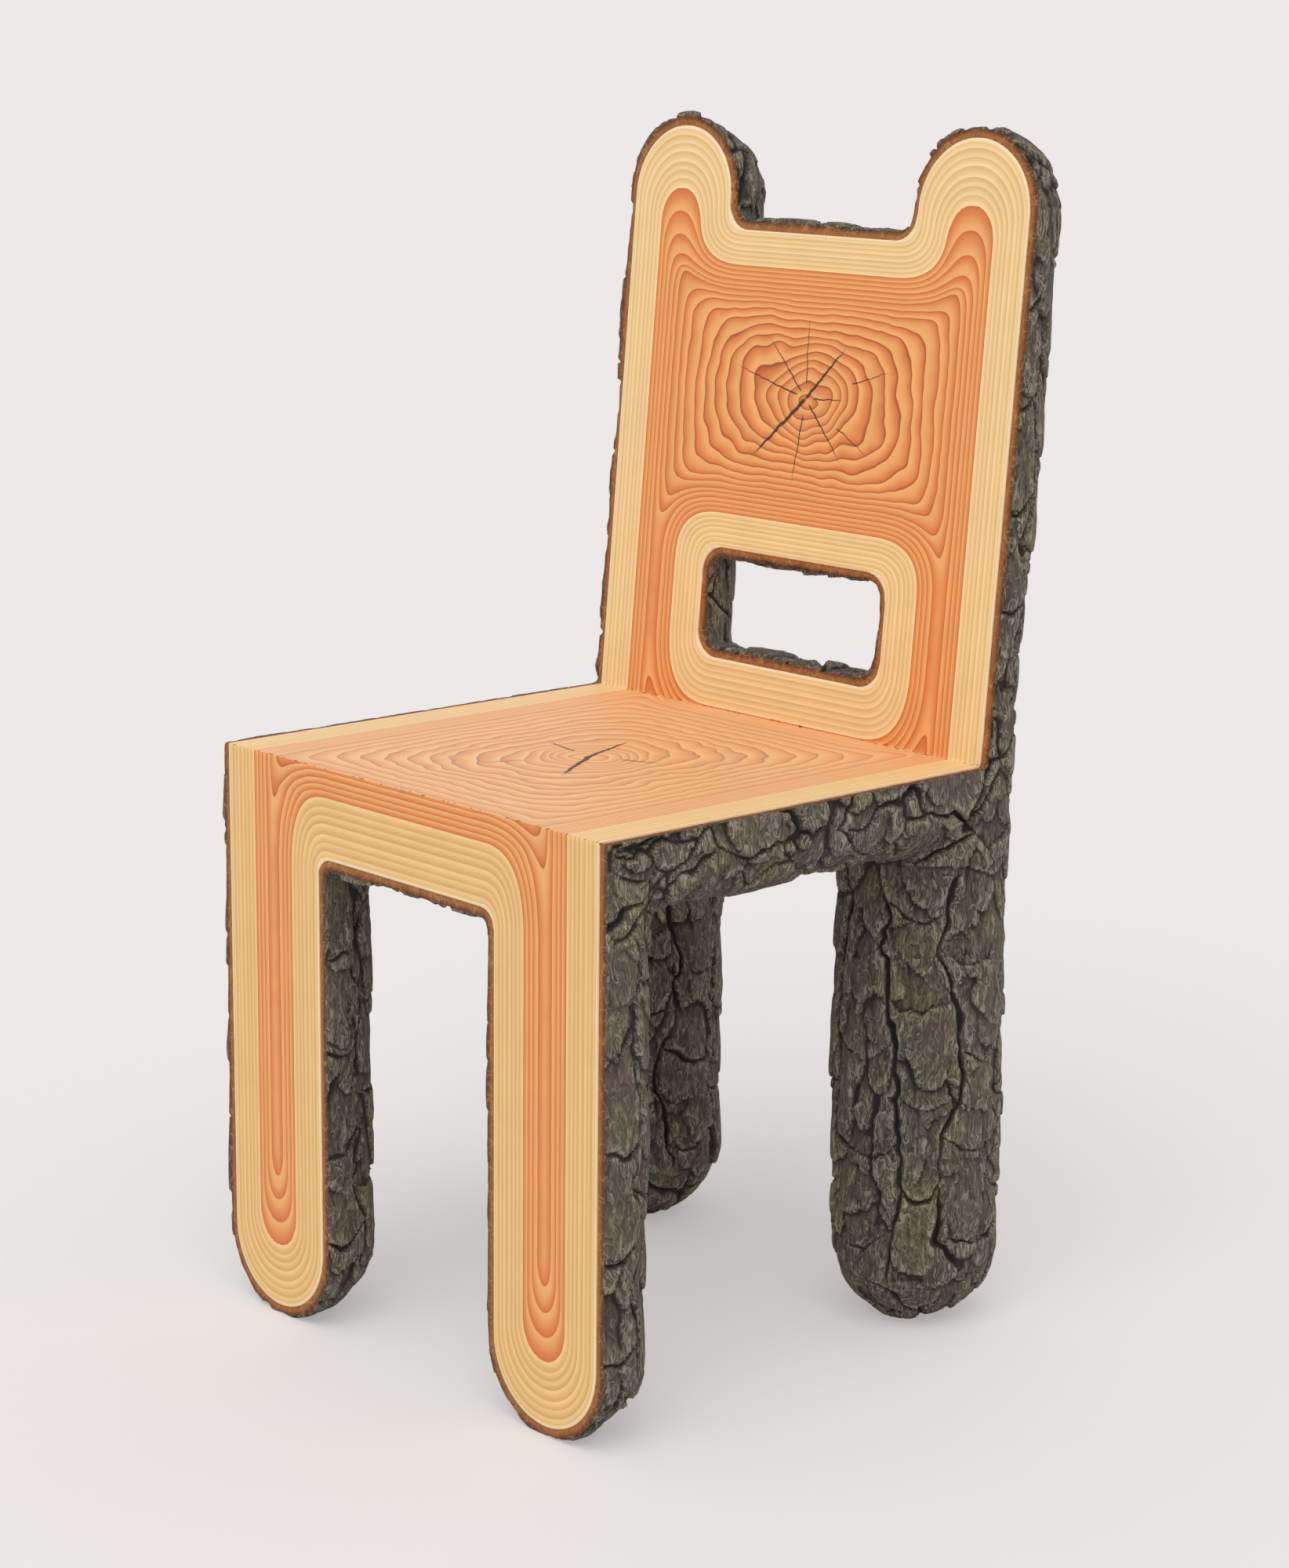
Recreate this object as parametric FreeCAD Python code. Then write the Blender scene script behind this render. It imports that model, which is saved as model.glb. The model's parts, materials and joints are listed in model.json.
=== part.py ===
import FreeCAD, Part
import math
import os

# A side chair that looks as if it were sawn out of one forked log: flat bare-wood faces on the
# front, the seat and the back, and rough bark round everything else.
# Frame: millimetres, +Z up, the floor at Z = 0, the front faces -Y, and the origin is under the
# middle of the chair. Left and right are as seen from the front.

V = FreeCAD.Vector
SIDES = ((-1, "left"), (1, "right"))

# Driving sizes of the bare wood
SEAT_HEIGHT = 450.0
SEAT_DEPTH = 385.0
LEG_GAP = 206.0
LOG_WIDTH = 112.0
FACING = 10.0
BARK = 9.0
FOOT_FLAT = 1.5

# Seat frame
RAIL_HEIGHT = 55.0
RAIL_WIDTH = 70.0
RAIL_ROUND = 30.0
RAIL_LAP = 10.0
APRON_DROP = 15.0
OPENING_CORNER = 6.0

# Back, measured along its slope from the seat
BACK_RAKE = 4.9
WINDOW_SILL = 41.0
WINDOW_HEIGHT = 90.0
PANEL_HEIGHT = 255.0
EAR_HEIGHT = 80.0
PANEL_DEPTH = 46.0
PANEL_ROUND = 25.0
WINDOW_CORNER = 13.0
NOTCH_CORNER = 13.0

# Main splits of the bark on legs and posts
SPLIT_SPACING = 52.0
SPLIT_RISE = 38.0
SPLIT_SWAY = 11.0
SPLIT_SAG = 13.0
SPLIT_WIDTH = 4.5
SPLIT_DEPTH = 3.5
# How the sway turns from one split to the next, from one bend to the next, and with both
SWAY_TURNS = (2.1, 2.6, 0.7)

# Joinery
DOWEL_DIAMETER = 12.0
DOWEL_LENGTH = 60.0
DOWEL_CLEARANCE = 0.2
DOWEL_SHARES = (0.3, 0.7)
POST_DOWEL_SHARES = (0.1, 0.5)
PANEL_DOWEL_SHARES = (0.2, 0.5, 0.8)
SILL_DOWEL_SHARE = 0.4
BLOCK_HEIGHT = 15.0
BLOCK_LEG = 60.0
SCREW_DIAMETER = 4.0
SCREW_LENGTH = 35.0
SCREW_HEAD_DIAMETER = 8.0
SCREW_HEAD_HEIGHT = 2.5
SCREW_CLEARANCE = 0.1
SCREW_PLACE_SHARES = ((0.2, 0.45), (0.45, 0.2))

# One length that runs past every cut, and the gap below which two points are one
OVERRUN = 200.0
SAME_POINT = 1e-6

# Places worked out from the driving sizes
wood_radius = LOG_WIDTH / 2
log_radius = wood_radius + BARK
half_gap = LEG_GAP / 2
clear_half = half_gap - BARK
leg_x = half_gap + wood_radius
face_half = half_gap + LOG_WIDTH
bark_half = face_half + BARK
window_top = WINDOW_SILL + WINDOW_HEIGHT
crest = window_top + PANEL_HEIGHT
back_height = crest + EAR_HEIGHT
ear_centre = back_height - wood_radius
ear_setback = ear_centre * math.sin(math.radians(BACK_RAKE))
front_y = -(SEAT_DEPTH + ear_setback + log_radius) / 2
back_y = front_y + SEAT_DEPTH
front_axis_y = front_y + FACING
span_front_y = front_axis_y + wood_radius
span_rear_y = back_y - wood_radius
rail_back_y = back_y + PANEL_DEPTH
deck_z = SEAT_HEIGHT - FACING
rail_z = SEAT_HEIGHT - RAIL_HEIGHT
seam_z = rail_z - BARK
wall_z = rail_z + RAIL_ROUND
apron_z = rail_z - APRON_DROP
core_z = rail_z + BLOCK_HEIGHT
cross_dowel_z, side_dowel_z = (rail_z + share * (deck_z - rail_z) for share in DOWEL_SHARES)
foot_z = log_radius - FOOT_FLAT
rail_inside = face_half - RAIL_WIDTH
panel_bark_depth = PANEL_DEPTH + BARK
half_turn_columns = max(2, round(math.pi * log_radius / SPLIT_SPACING))
back_place = FreeCAD.Placement(V(0, back_y, SEAT_HEIGHT), FreeCAD.Rotation(V(1, 0, 0), -BACK_RAKE))


def box(x_range, y_range, z_range):
    low, high = zip(x_range, y_range, z_range)
    sides = [end - start for start, end in zip(low, high)]
    return Part.makeBox(*sides, V(*low))


def outline(corners):
    """Closed face through corners, each a point and the radius that rounds it."""
    edges = []
    ends = []
    for index, (point, radius) in enumerate(corners):
        to_last = (corners[index - 1][0] - point).normalize()
        to_next = (corners[(index + 1) % len(corners)][0] - point).normalize()
        inward = (to_last + to_next).normalize()
        half_angle = to_last.getAngle(to_next) / 2
        reach = radius / math.tan(half_angle)
        middle = point + inward * (radius / math.sin(half_angle) - radius)
        ends.append((point + to_last * reach, middle, point + to_next * reach, radius))
    for index, (entry, middle, leave, radius) in enumerate(ends):
        last_leave = ends[index - 1][2]
        if last_leave.distanceToPoint(entry) > SAME_POINT:
            edges.append(Part.makeLine(last_leave, entry))
        if radius > 0:
            edges.append(Part.Arc(entry, middle, leave).toShape())
    return Part.Face(Part.Wire(edges))


def front_plate(corners, y_start, thickness):
    """Plate of an outline drawn in X and Z, standing square to Y."""
    points = [(V(x, y_start, z), radius) for x, z, radius in corners]
    return outline(points).extrude(V(0, thickness, 0))


def cross_bar(corners, half_length):
    """Bar of a section drawn in Y and Z, running across the chair."""
    points = [(V(-half_length, y, z), radius) for y, z, radius in corners]
    return outline(points).extrude(V(2 * half_length, 0, 0))


def log(radius, length, sweep):
    """Log along Z with a round lower end, its last full section at Z = 0, turned through sweep."""
    end = V(0, 0, -radius)
    slant = radius * math.sqrt(0.5)
    rim = V(radius, 0, 0)
    top_rim = V(radius, 0, length)
    top = V(0, 0, length)
    edges = [
        Part.Arc(end, V(slant, 0, -slant), rim).toShape(),
        Part.makeLine(rim, top_rim),
        Part.makeLine(top_rim, top),
        Part.makeLine(top, end),
    ]
    return Part.Face(Part.Wire(edges)).revolve(V(0, 0, 0), V(0, 0, 1), sweep)


def joined(*shapes):
    return shapes[0].fuse(list(shapes[1:])).removeSplitter()


def raked(shape):
    """Lay a piece drawn upright (Y = depth, Z = height on the slope) into the leaning back."""
    placed = shape.copy()
    placed.Placement = back_place.multiply(placed.Placement)
    return placed


def above_deck(shape):
    reach = back_height + OVERRUN
    below = box((-reach, reach), (-reach, reach), (-reach, deck_z))
    return shape.cut(below)


def above_floor(shape):
    reach = back_height + OVERRUN
    ground = box((-reach, reach), (-reach, reach), (-reach, 0))
    return shape.cut(ground)


def save(name, shape):
    solids = shape.Solids
    body = solids[0] if len(solids) == 1 else Part.makeCompound(solids)
    body.exportStep("parts/" + name + ".step")
    print(name, len(solids), "solids", round(body.Volume), "mm3 valid", body.isValid())


# Bare-wood facings
def front_facing():
    foot_end = foot_z - wood_radius
    opening_radius = OPENING_CORNER + BARK
    right_half = [
        (half_gap, apron_z, opening_radius),
        (half_gap, foot_end, wood_radius),
        (face_half, foot_end, wood_radius),
        (face_half, SEAT_HEIGHT, 0),
    ]
    left_half = [(-x, z, radius) for x, z, radius in reversed(right_half)]
    plate = front_plate(right_half + left_half, front_y, FACING)
    mitre = [
        (front_y, SEAT_HEIGHT, 0),
        (front_axis_y, deck_z, 0),
        (front_axis_y, SEAT_HEIGHT, 0),
    ]
    return plate.cut(cross_bar(mitre, face_half))


def seat_facing():
    lean = FACING * math.tan(math.radians(BACK_RAKE))
    section = [
        (front_y, SEAT_HEIGHT, 0),
        (front_axis_y, deck_z, 0),
        (back_y - lean, deck_z, 0),
        (back_y, SEAT_HEIGHT, 0),
    ]
    return cross_bar(section, face_half)


def back_facing():
    notch_radius = NOTCH_CORNER + BARK
    right_half = [
        (half_gap, crest, notch_radius),
        (half_gap, back_height, wood_radius),
        (face_half, back_height, wood_radius),
        (face_half, -LOG_WIDTH, 0),
    ]
    left_half = [(-x, z, radius) for x, z, radius in reversed(right_half)]
    plate = front_plate(right_half + left_half, 0, FACING)
    window_radius = WINDOW_CORNER + BARK
    window = [
        (-half_gap, WINDOW_SILL, window_radius),
        (half_gap, WINDOW_SILL, window_radius),
        (half_gap, window_top, window_radius),
        (-half_gap, window_top, window_radius),
    ]
    return above_deck(raked(plate.cut(front_plate(window, 0, FACING))))


# Logs that carry the facings
def front_leg(side):
    half_log = log(wood_radius, deck_z - foot_z, 180)
    half_log.translate(V(side * leg_x, front_axis_y, foot_z))
    return half_log


def rear_leg(side):
    round_log = log(wood_radius, deck_z - foot_z, 360)
    round_log.translate(V(side * leg_x, back_y, foot_z))
    return round_log


def back_log(side, radius):
    """Half log of the back, round end up, its flat side in the plane of the back's face."""
    half_log = log(radius, ear_centre + LOG_WIDTH, 180)
    half_log.rotate(V(0, 0, 0), V(0, 1, 0), 180)
    half_log.translate(V(side * leg_x, 0, ear_centre))
    return half_log


def back_post(side):
    reach = back_height + OVERRUN
    facing_room = box((-reach, reach), (-reach, FACING), (-reach, reach))
    return above_deck(raked(back_log(side, wood_radius).cut(facing_room)))


# Rails and panels between the logs, with their ends hollowed to fit round the logs
def front_rail(front_legs):
    middle = box((-half_gap, half_gap), (front_axis_y, span_front_y), (apron_z, deck_z))
    ends = box((-rail_inside, rail_inside), (front_axis_y + RAIL_LAP, span_front_y), (rail_z, deck_z))
    return joined(middle, ends.cut(front_legs))


def rail_section(side, outside, bottom, top, radius):
    corners = [
        (side * rail_inside, bottom, 0),
        (side * outside, bottom, radius),
        (side * outside, top, 0),
        (side * rail_inside, top, 0),
    ]
    start = front_axis_y + RAIL_LAP
    return front_plate(corners, start, back_y - RAIL_LAP - start)


def side_rail(side, legs):
    return rail_section(side, face_half, rail_z, deck_z, RAIL_ROUND).cut(legs)


def rear_seat_rail(rear_legs):
    middle = box((-half_gap, half_gap), (span_rear_y, back_y), (rail_z, deck_z))
    ends = box((-rail_inside, rail_inside), (span_rear_y, back_y - RAIL_LAP), (rail_z, deck_z))
    behind = box((-rail_inside, rail_inside), (back_y, rail_back_y), (rail_z, deck_z))
    return joined(middle, ends.cut(rear_legs), behind.cut(rear_legs))


def lower_back_rail(posts):
    section = [
        (FACING, -LOG_WIDTH, 0),
        (PANEL_DEPTH, -LOG_WIDTH, 0),
        (PANEL_DEPTH, WINDOW_SILL, PANEL_ROUND),
        (FACING, WINDOW_SILL, 0),
    ]
    return above_deck(raked(cross_bar(section, leg_x))).cut(posts)


def back_panel(posts):
    section = [
        (FACING, window_top, 0),
        (PANEL_DEPTH, window_top, PANEL_ROUND),
        (PANEL_DEPTH, crest, PANEL_ROUND),
        (FACING, crest, 0),
    ]
    return raked(cross_bar(section, leg_x)).cut(posts)


def seat_core():
    return box((-rail_inside, rail_inside), (span_front_y, span_rear_y), (core_z, deck_z))


def block_corners():
    """Inner corners of the seat frame, each with the directions along its two rails."""
    for y, along, end in ((span_front_y, 1, "front"), (span_rear_y, -1, "rear")):
        for side, hand in SIDES:
            yield end + "_" + hand, V(side * rail_inside, y, rail_z), -side * BLOCK_LEG, along * BLOCK_LEG


def corner_block(corner, run_x, run_y):
    points = [(corner, 0), (corner + V(run_x, 0, 0), 0), (corner + V(0, run_y, 0), 0)]
    return outline(points).extrude(V(0, 0, BLOCK_HEIGHT))


def seat_well():
    """Space inside the four seat rails."""
    return box((-rail_inside, rail_inside), (span_front_y, span_rear_y), (rail_z, deck_z))


# Bark
def front_log(side):
    """Front leg over its bark, with the flat band that frames the facing."""
    half_log = log(log_radius, wall_z - foot_z, 180)
    half_log.translate(V(side * leg_x, front_axis_y, foot_z))
    edges = sorted((side * clear_half, side * bark_half))
    foot_end = foot_z - log_radius
    band = front_plate([
        (edges[0], wall_z, 0),
        (edges[0], foot_end, log_radius),
        (edges[1], foot_end, log_radius),
        (edges[1], wall_z, 0),
    ], front_y, FACING)
    return above_floor(joined(half_log, band))


def rear_log(side):
    """Rear leg over its bark, its rear half reaching up to the back post."""
    place = V(side * leg_x, back_y, foot_z)
    round_log = log(log_radius, wall_z - foot_z, 360)
    round_log.translate(place)
    joint = V(place.x, place.y, wall_z)
    rear_half = Part.makeCylinder(log_radius, deck_z - wall_z, joint, V(0, 0, 1), 180)
    return above_floor(joined(round_log, rear_half))


def on_log(reach, angle, height):
    return V(reach * math.cos(angle), reach * math.sin(angle), height)


def wedge(stations, half_angle, half_height):
    """Cutter that splits the bark of a log through stations, each an angle, a height and a depth."""
    sections = []
    for angle, height, depth in stations:
        outside = log_radius + SPLIT_DEPTH
        corners = [
            on_log(outside, angle - half_angle, height - half_height),
            on_log(outside, angle + half_angle, height + half_height),
            on_log(log_radius - depth, angle, height),
        ]
        sections.append(Part.makePolygon(corners + corners[:1]))
    return Part.makeLoft(sections, True, True)


def bark_splits(first_column, columns, low, high, place):
    """Main splits of a log's bark: wandering ones up the log, and sagging ones that join them."""
    rows = max(2, round((high - low) / SPLIT_RISE))
    row_height = (high - low) / rows
    whole_turn = 2 * half_turn_columns
    pitch = math.tau / whole_turn
    by_column, by_row, by_both = SWAY_TURNS

    def station(column, row, depth):
        number = column % whole_turn
        sway = SPLIT_SWAY / log_radius * math.sin(by_column * number + by_row * row + by_both * number * row)
        return (column + 0.5) * pitch + sway, low + row * row_height, depth

    cutters = []
    for column in range(first_column, first_column + columns):
        depths = [0] + [SPLIT_DEPTH] * (rows - 1) + [0]
        upright = [station(column, row, depth) for row, depth in enumerate(depths)]
        cutters.append(wedge(upright, SPLIT_WIDTH / log_radius, 0))
        last = column == first_column + columns - 1
        if last and columns < whole_turn:
            continue
        for row in range(2 - column % 2, rows, 2):
            start, end = (station(column + step, row, SPLIT_DEPTH) for step in (0, 1))
            middle = ((start[0] + end[0]) / 2, start[1] - SPLIT_SAG, SPLIT_DEPTH)
            cutters.append(wedge([start, middle, end], 0, SPLIT_WIDTH))
    for cutter in cutters:
        cutter.translate(place)
    return cutters


def front_splits(side):
    place = V(side * leg_x, front_axis_y, 0)
    return bark_splits(0, half_turn_columns, foot_z - 2 * BARK, seam_z, place)


def rear_splits(side):
    place = V(side * leg_x, back_y, 0)
    return bark_splits(0, 2 * half_turn_columns, foot_z - 2 * BARK, seam_z, place)


def post_splits(side):
    """Splits of a back post, drawn upright, away from the side that the panel's bark covers."""
    first_column = 0 if side > 0 else 1
    place = V(side * leg_x, 0, 0)
    return bark_splits(first_column, half_turn_columns - 1, WINDOW_SILL / 2, ear_centre + 2 * BARK, place)


def side_rail_bark(side, logs):
    outer = rail_section(side, bark_half, seam_z, wall_z, RAIL_ROUND + BARK)
    inner = rail_section(side, face_half, rail_z, wall_z, RAIL_ROUND)
    wall = box(sorted((side * face_half, side * bark_half)), (front_y, back_y), (wall_z, SEAT_HEIGHT))
    behind_face = raked(box((-bark_half, bark_half), (0, OVERRUN), (-OVERRUN, OVERRUN)))
    return joined(outer.cut([inner] + logs), wall.cut(above_deck(behind_face)))


def seat_underside_bark(neighbours):
    sheet = box((-rail_inside, rail_inside), (front_y, rail_back_y), (seam_z, rail_z))
    behind = box((-leg_x, leg_x), (back_y, rail_back_y), (seam_z, rail_z))
    return joined(sheet, behind).cut(neighbours)


def front_rail_bark(wood, logs):
    bottom = apron_z - BARK
    depth = FACING + wood_radius + BARK
    reach = leg_x - wood_radius / 2
    sheet = box((-reach, reach), (front_y, front_y + depth), (bottom, seam_z))
    band = box((-reach, reach), (front_y, front_axis_y), (bottom - OPENING_CORNER, bottom))
    opening = front_plate([
        (-clear_half, bottom, OPENING_CORNER),
        (-clear_half, 0, 0),
        (clear_half, 0, 0),
        (clear_half, bottom, OPENING_CORNER),
    ], front_y, FACING)
    return joined(sheet, band).cut([opening] + wood + logs)


def rear_seat_rail_bark(logs):
    sheet = box((-leg_x, leg_x), (rail_back_y, rail_back_y + BARK), (seam_z, deck_z))
    return sheet.cut(logs)


def window_space():
    corners = [
        (-clear_half, WINDOW_SILL + BARK, WINDOW_CORNER),
        (clear_half, WINDOW_SILL + BARK, WINDOW_CORNER),
        (clear_half, window_top - BARK, WINDOW_CORNER),
        (-clear_half, window_top - BARK, WINDOW_CORNER),
    ]
    return front_plate(corners, 0, FACING)


def notch_space():
    corners = [
        (-clear_half, crest + BARK, NOTCH_CORNER),
        (clear_half, crest + BARK, NOTCH_CORNER),
        (clear_half, back_height, 0),
        (-clear_half, back_height, 0),
    ]
    return front_plate(corners, 0, FACING)


def lower_back_rail_bark(wood, logs):
    top = WINDOW_SILL + BARK
    section = [
        (0, -LOG_WIDTH, 0),
        (panel_bark_depth, -LOG_WIDTH, 0),
        (panel_bark_depth, top, PANEL_ROUND + BARK),
        (0, top, 0),
    ]
    band = box((-leg_x, leg_x), (0, FACING), (top, top + WINDOW_CORNER))
    sheet = joined(cross_bar(section, leg_x), band).cut([window_space()] + logs)
    return above_deck(raked(sheet)).cut(wood)


def back_panel_bark(wood, logs):
    bottom = window_top - BARK
    top = crest + BARK
    section = [
        (0, bottom, 0),
        (panel_bark_depth, bottom, PANEL_ROUND + BARK),
        (panel_bark_depth, top, PANEL_ROUND + BARK),
        (0, top, 0),
    ]
    band = box((-leg_x, leg_x), (0, FACING), (bottom - WINDOW_CORNER, top + NOTCH_CORNER))
    sheet = joined(cross_bar(section, leg_x), band).cut([window_space(), notch_space()] + logs)
    return raked(sheet).cut(wood)


# Fasteners
def dowels(places, growth):
    """Dowels centred on places, each with a direction; growth makes the holes for them."""
    length = DOWEL_LENGTH + 2 * growth
    radius = DOWEL_DIAMETER / 2 + growth
    return [
        Part.makeCylinder(radius, length, centre - direction * (length / 2), direction)
        for centre, direction in places
    ]


def log_reach(offset):
    """How far the bare log reaches sideways, at an offset from its axis."""
    return math.sqrt(wood_radius ** 2 - offset ** 2)


def dowel_places():
    across, along, upright = V(1, 0, 0), V(0, 1, 0), V(0, 0, 1)
    names = ("front_rail", "side_rail", "rear_rail", "back_post", "back_panel", "sill")
    places = {name: [] for name in names}
    panel_middle = (FACING + PANEL_DEPTH) / 2
    panel_end = leg_x - log_reach(panel_middle)
    for side, _ in SIDES:
        for share in DOWEL_SHARES:
            offset = share * wood_radius
            rail_end = side * (leg_x - log_reach(offset))
            places["front_rail"].append((V(rail_end, front_axis_y + offset, cross_dowel_z), across))
            places["rear_rail"].append((V(rail_end, back_y - offset, cross_dowel_z), across))
            rail_x = rail_inside + share * RAIL_WIDTH
            reach = log_reach(rail_x - leg_x)
            places["side_rail"].append((V(side * rail_x, front_axis_y + reach, side_dowel_z), along))
            places["side_rail"].append((V(side * rail_x, back_y - reach, side_dowel_z), along))
        for share in POST_DOWEL_SHARES:
            post_x = side * (leg_x + share * wood_radius)
            places["back_post"].append((V(post_x, back_y + panel_middle, deck_z), upright))
        for share in PANEL_DOWEL_SHARES:
            height = window_top + share * PANEL_HEIGHT
            place = back_place.multVec(V(side * panel_end, panel_middle, height))
            places["back_panel"].append((place, across))
        place = back_place.multVec(V(side * panel_end, panel_middle, SILL_DOWEL_SHARE * WINDOW_SILL))
        places["sill"].append((place, across))
    return places


def screw(place, growth):
    head_radius = SCREW_HEAD_DIAMETER / 2 + growth
    radius = SCREW_DIAMETER / 2 + growth
    head = Part.makeCone(head_radius, radius, SCREW_HEAD_HEIGHT, place)
    shank = Part.makeCylinder(radius, SCREW_LENGTH + growth, place)
    return joined(head, shank)


def screw_places():
    for _, corner, run_x, run_y in block_corners():
        for share_x, share_y in SCREW_PLACE_SHARES:
            yield corner + V(share_x * run_x, share_y * run_y, 0)


def main():
    os.makedirs("parts", exist_ok=True)

    facings = {"front_facing": front_facing(), "seat_facing": seat_facing(), "back_facing": back_facing()}
    front_legs = [front_leg(side) for side, _ in SIDES]
    rear_legs = [rear_leg(side) for side, _ in SIDES]
    posts = [back_post(side) for side, _ in SIDES]
    side_rails = [side_rail(side, front_legs + rear_legs) for side, _ in SIDES]
    apron = front_rail(front_legs)
    rear_rail = rear_seat_rail(rear_legs)
    sill_rail = lower_back_rail(posts)
    panel = back_panel(posts)
    core = seat_core()

    back_wood = [facings["back_facing"], panel, sill_rail] + posts
    back_logs = [back_log(side, log_radius) for side, _ in SIDES]
    front_wood = [facings["front_facing"], apron] + front_legs
    under_wood = front_wood + side_rails + [rear_rail, seat_well()] + rear_legs
    legs_in_bark = [front_log(side) for side, _ in SIDES] + [rear_log(side) for side, _ in SIDES]
    leg_splits = [front_splits(side) for side, _ in SIDES] + [rear_splits(side) for side, _ in SIDES]
    leg_barks = [leg.cut(under_wood).cut(splits) for leg, splits in zip(legs_in_bark, leg_splits)]
    side_barks = [side_rail_bark(side, legs_in_bark) for side, _ in SIDES]
    underside = seat_underside_bark(under_wood + legs_in_bark + side_barks)
    apron_bark = front_rail_bark(front_wood + [underside], legs_in_bark)
    rear_rail_cover = rear_seat_rail_bark(legs_in_bark)

    places = dowel_places()
    holes = {name: dowels(spots, DOWEL_CLEARANCE) for name, spots in places.items()}
    screw_holes = [screw(place, SCREW_CLEARANCE) for place in screw_places()]

    for name, shape in facings.items():
        save(name, shape)
    save("front_rail", apron.cut(holes["front_rail"]))
    save("rear_seat_rail", rear_rail.cut(holes["rear_rail"]))
    save("lower_back_rail", sill_rail.cut(holes["sill"]))
    save("back_panel", panel.cut(holes["back_panel"]))
    save("seat_core", core.cut(screw_holes))
    save("seat_underside_bark", underside)
    save("front_rail_bark", apron_bark)
    save("rear_seat_rail_bark", rear_rail_cover)
    save("lower_back_rail_bark", lower_back_rail_bark(back_wood, back_logs))
    save("back_panel_bark", back_panel_bark(back_wood, back_logs))
    for index, (side, hand) in enumerate(SIDES):
        save("front_leg_" + hand, front_legs[index].cut(holes["front_rail"] + holes["side_rail"]))
        rear_holes = holes["rear_rail"] + holes["side_rail"] + holes["back_post"]
        save("rear_leg_" + hand, rear_legs[index].cut(rear_holes))
        post_holes = holes["back_post"] + holes["back_panel"] + holes["sill"]
        save("back_post_" + hand, posts[index].cut(post_holes))
        save("side_rail_" + hand, side_rails[index].cut(holes["side_rail"]))
        save("front_leg_bark_" + hand, leg_barks[index])
        save("rear_leg_bark_" + hand, leg_barks[len(SIDES) + index])
        save("side_rail_bark_" + hand, side_barks[index])
        split_log = back_logs[index].cut(post_splits(side))
        post_bark = above_deck(raked(split_log)).cut(back_wood)
        save("back_post_bark_" + hand, post_bark)
    for name, corner, run_x, run_y in block_corners():
        save("corner_block_" + name, corner_block(corner, run_x, run_y).cut(screw_holes))
    for name, spots in places.items():
        save(name + "_dowels", Part.makeCompound(dowels(spots, 0)))
    save("corner_block_screws", Part.makeCompound([screw(place, 0) for place in screw_places()]))
    print("chair", 2 * bark_half, "wide", round(-2 * front_y, 1), "deep")


main()
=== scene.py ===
# %% [markdown]
# # A chair that looks sawn out of one log
# Three flat faces of this chair are bare wood: the front of the front legs, the seat and the front of the
# back. Growth rings run in from every edge of them. Everything else wears thick, plated bark. The solid
# model gives the sizes and the joints. This script dresses it: fine face plates that carry the rings, and
# a skin of real, displaced bark. Shapes are worked out in millimetres, and Blender gets them in metres.

# %% Load the frame and note its box
import json
import math

import bpy
import numpy as np
from mathutils import Matrix, Vector
from mathutils.geometry import delaunay_2d_cdt

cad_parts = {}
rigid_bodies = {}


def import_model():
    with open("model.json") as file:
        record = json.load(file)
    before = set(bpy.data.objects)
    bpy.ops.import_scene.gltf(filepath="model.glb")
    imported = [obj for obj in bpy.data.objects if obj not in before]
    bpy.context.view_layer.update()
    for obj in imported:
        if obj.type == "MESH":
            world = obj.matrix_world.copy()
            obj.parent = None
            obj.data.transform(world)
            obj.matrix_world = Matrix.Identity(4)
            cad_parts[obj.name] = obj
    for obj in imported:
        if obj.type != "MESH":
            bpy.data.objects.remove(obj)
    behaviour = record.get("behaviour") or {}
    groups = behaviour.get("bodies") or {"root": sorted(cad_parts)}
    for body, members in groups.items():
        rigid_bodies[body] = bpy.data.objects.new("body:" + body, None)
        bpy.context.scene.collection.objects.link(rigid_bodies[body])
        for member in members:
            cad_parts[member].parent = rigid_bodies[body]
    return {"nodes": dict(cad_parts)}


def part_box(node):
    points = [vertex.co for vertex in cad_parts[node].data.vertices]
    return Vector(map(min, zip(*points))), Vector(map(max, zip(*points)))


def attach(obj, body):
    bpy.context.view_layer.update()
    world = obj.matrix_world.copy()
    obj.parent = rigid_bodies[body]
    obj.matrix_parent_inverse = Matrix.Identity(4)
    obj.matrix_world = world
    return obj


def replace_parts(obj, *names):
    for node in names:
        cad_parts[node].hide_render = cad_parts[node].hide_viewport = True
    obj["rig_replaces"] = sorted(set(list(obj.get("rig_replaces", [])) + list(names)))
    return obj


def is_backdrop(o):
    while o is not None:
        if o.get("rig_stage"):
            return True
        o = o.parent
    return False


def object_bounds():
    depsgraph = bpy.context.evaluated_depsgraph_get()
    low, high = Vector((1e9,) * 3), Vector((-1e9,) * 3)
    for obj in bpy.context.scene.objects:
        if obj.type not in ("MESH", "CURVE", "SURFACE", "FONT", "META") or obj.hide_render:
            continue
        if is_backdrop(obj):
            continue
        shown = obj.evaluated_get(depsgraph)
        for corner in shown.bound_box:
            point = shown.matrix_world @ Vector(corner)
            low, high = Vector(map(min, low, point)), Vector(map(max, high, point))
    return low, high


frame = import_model()
cad_low, cad_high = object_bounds()
MM = 0.001
print("frame:", len(frame["nodes"]), "nodes, box", [round(v, 4) for v in (*cad_low, *cad_high)])

# %% [markdown]
# ## Sizes
# The main planes come straight out of the frame's boxes, so the dressing follows the solids. Other sizes,
# such as the window's outline, are named here because a box can't give them.

# %% Sizes, in millimetres


def node_box(name):
    """The lowest and highest corner of a solid, in millimetres."""
    low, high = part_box(name)
    return np.array(low) / MM, np.array(high) / MM


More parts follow.
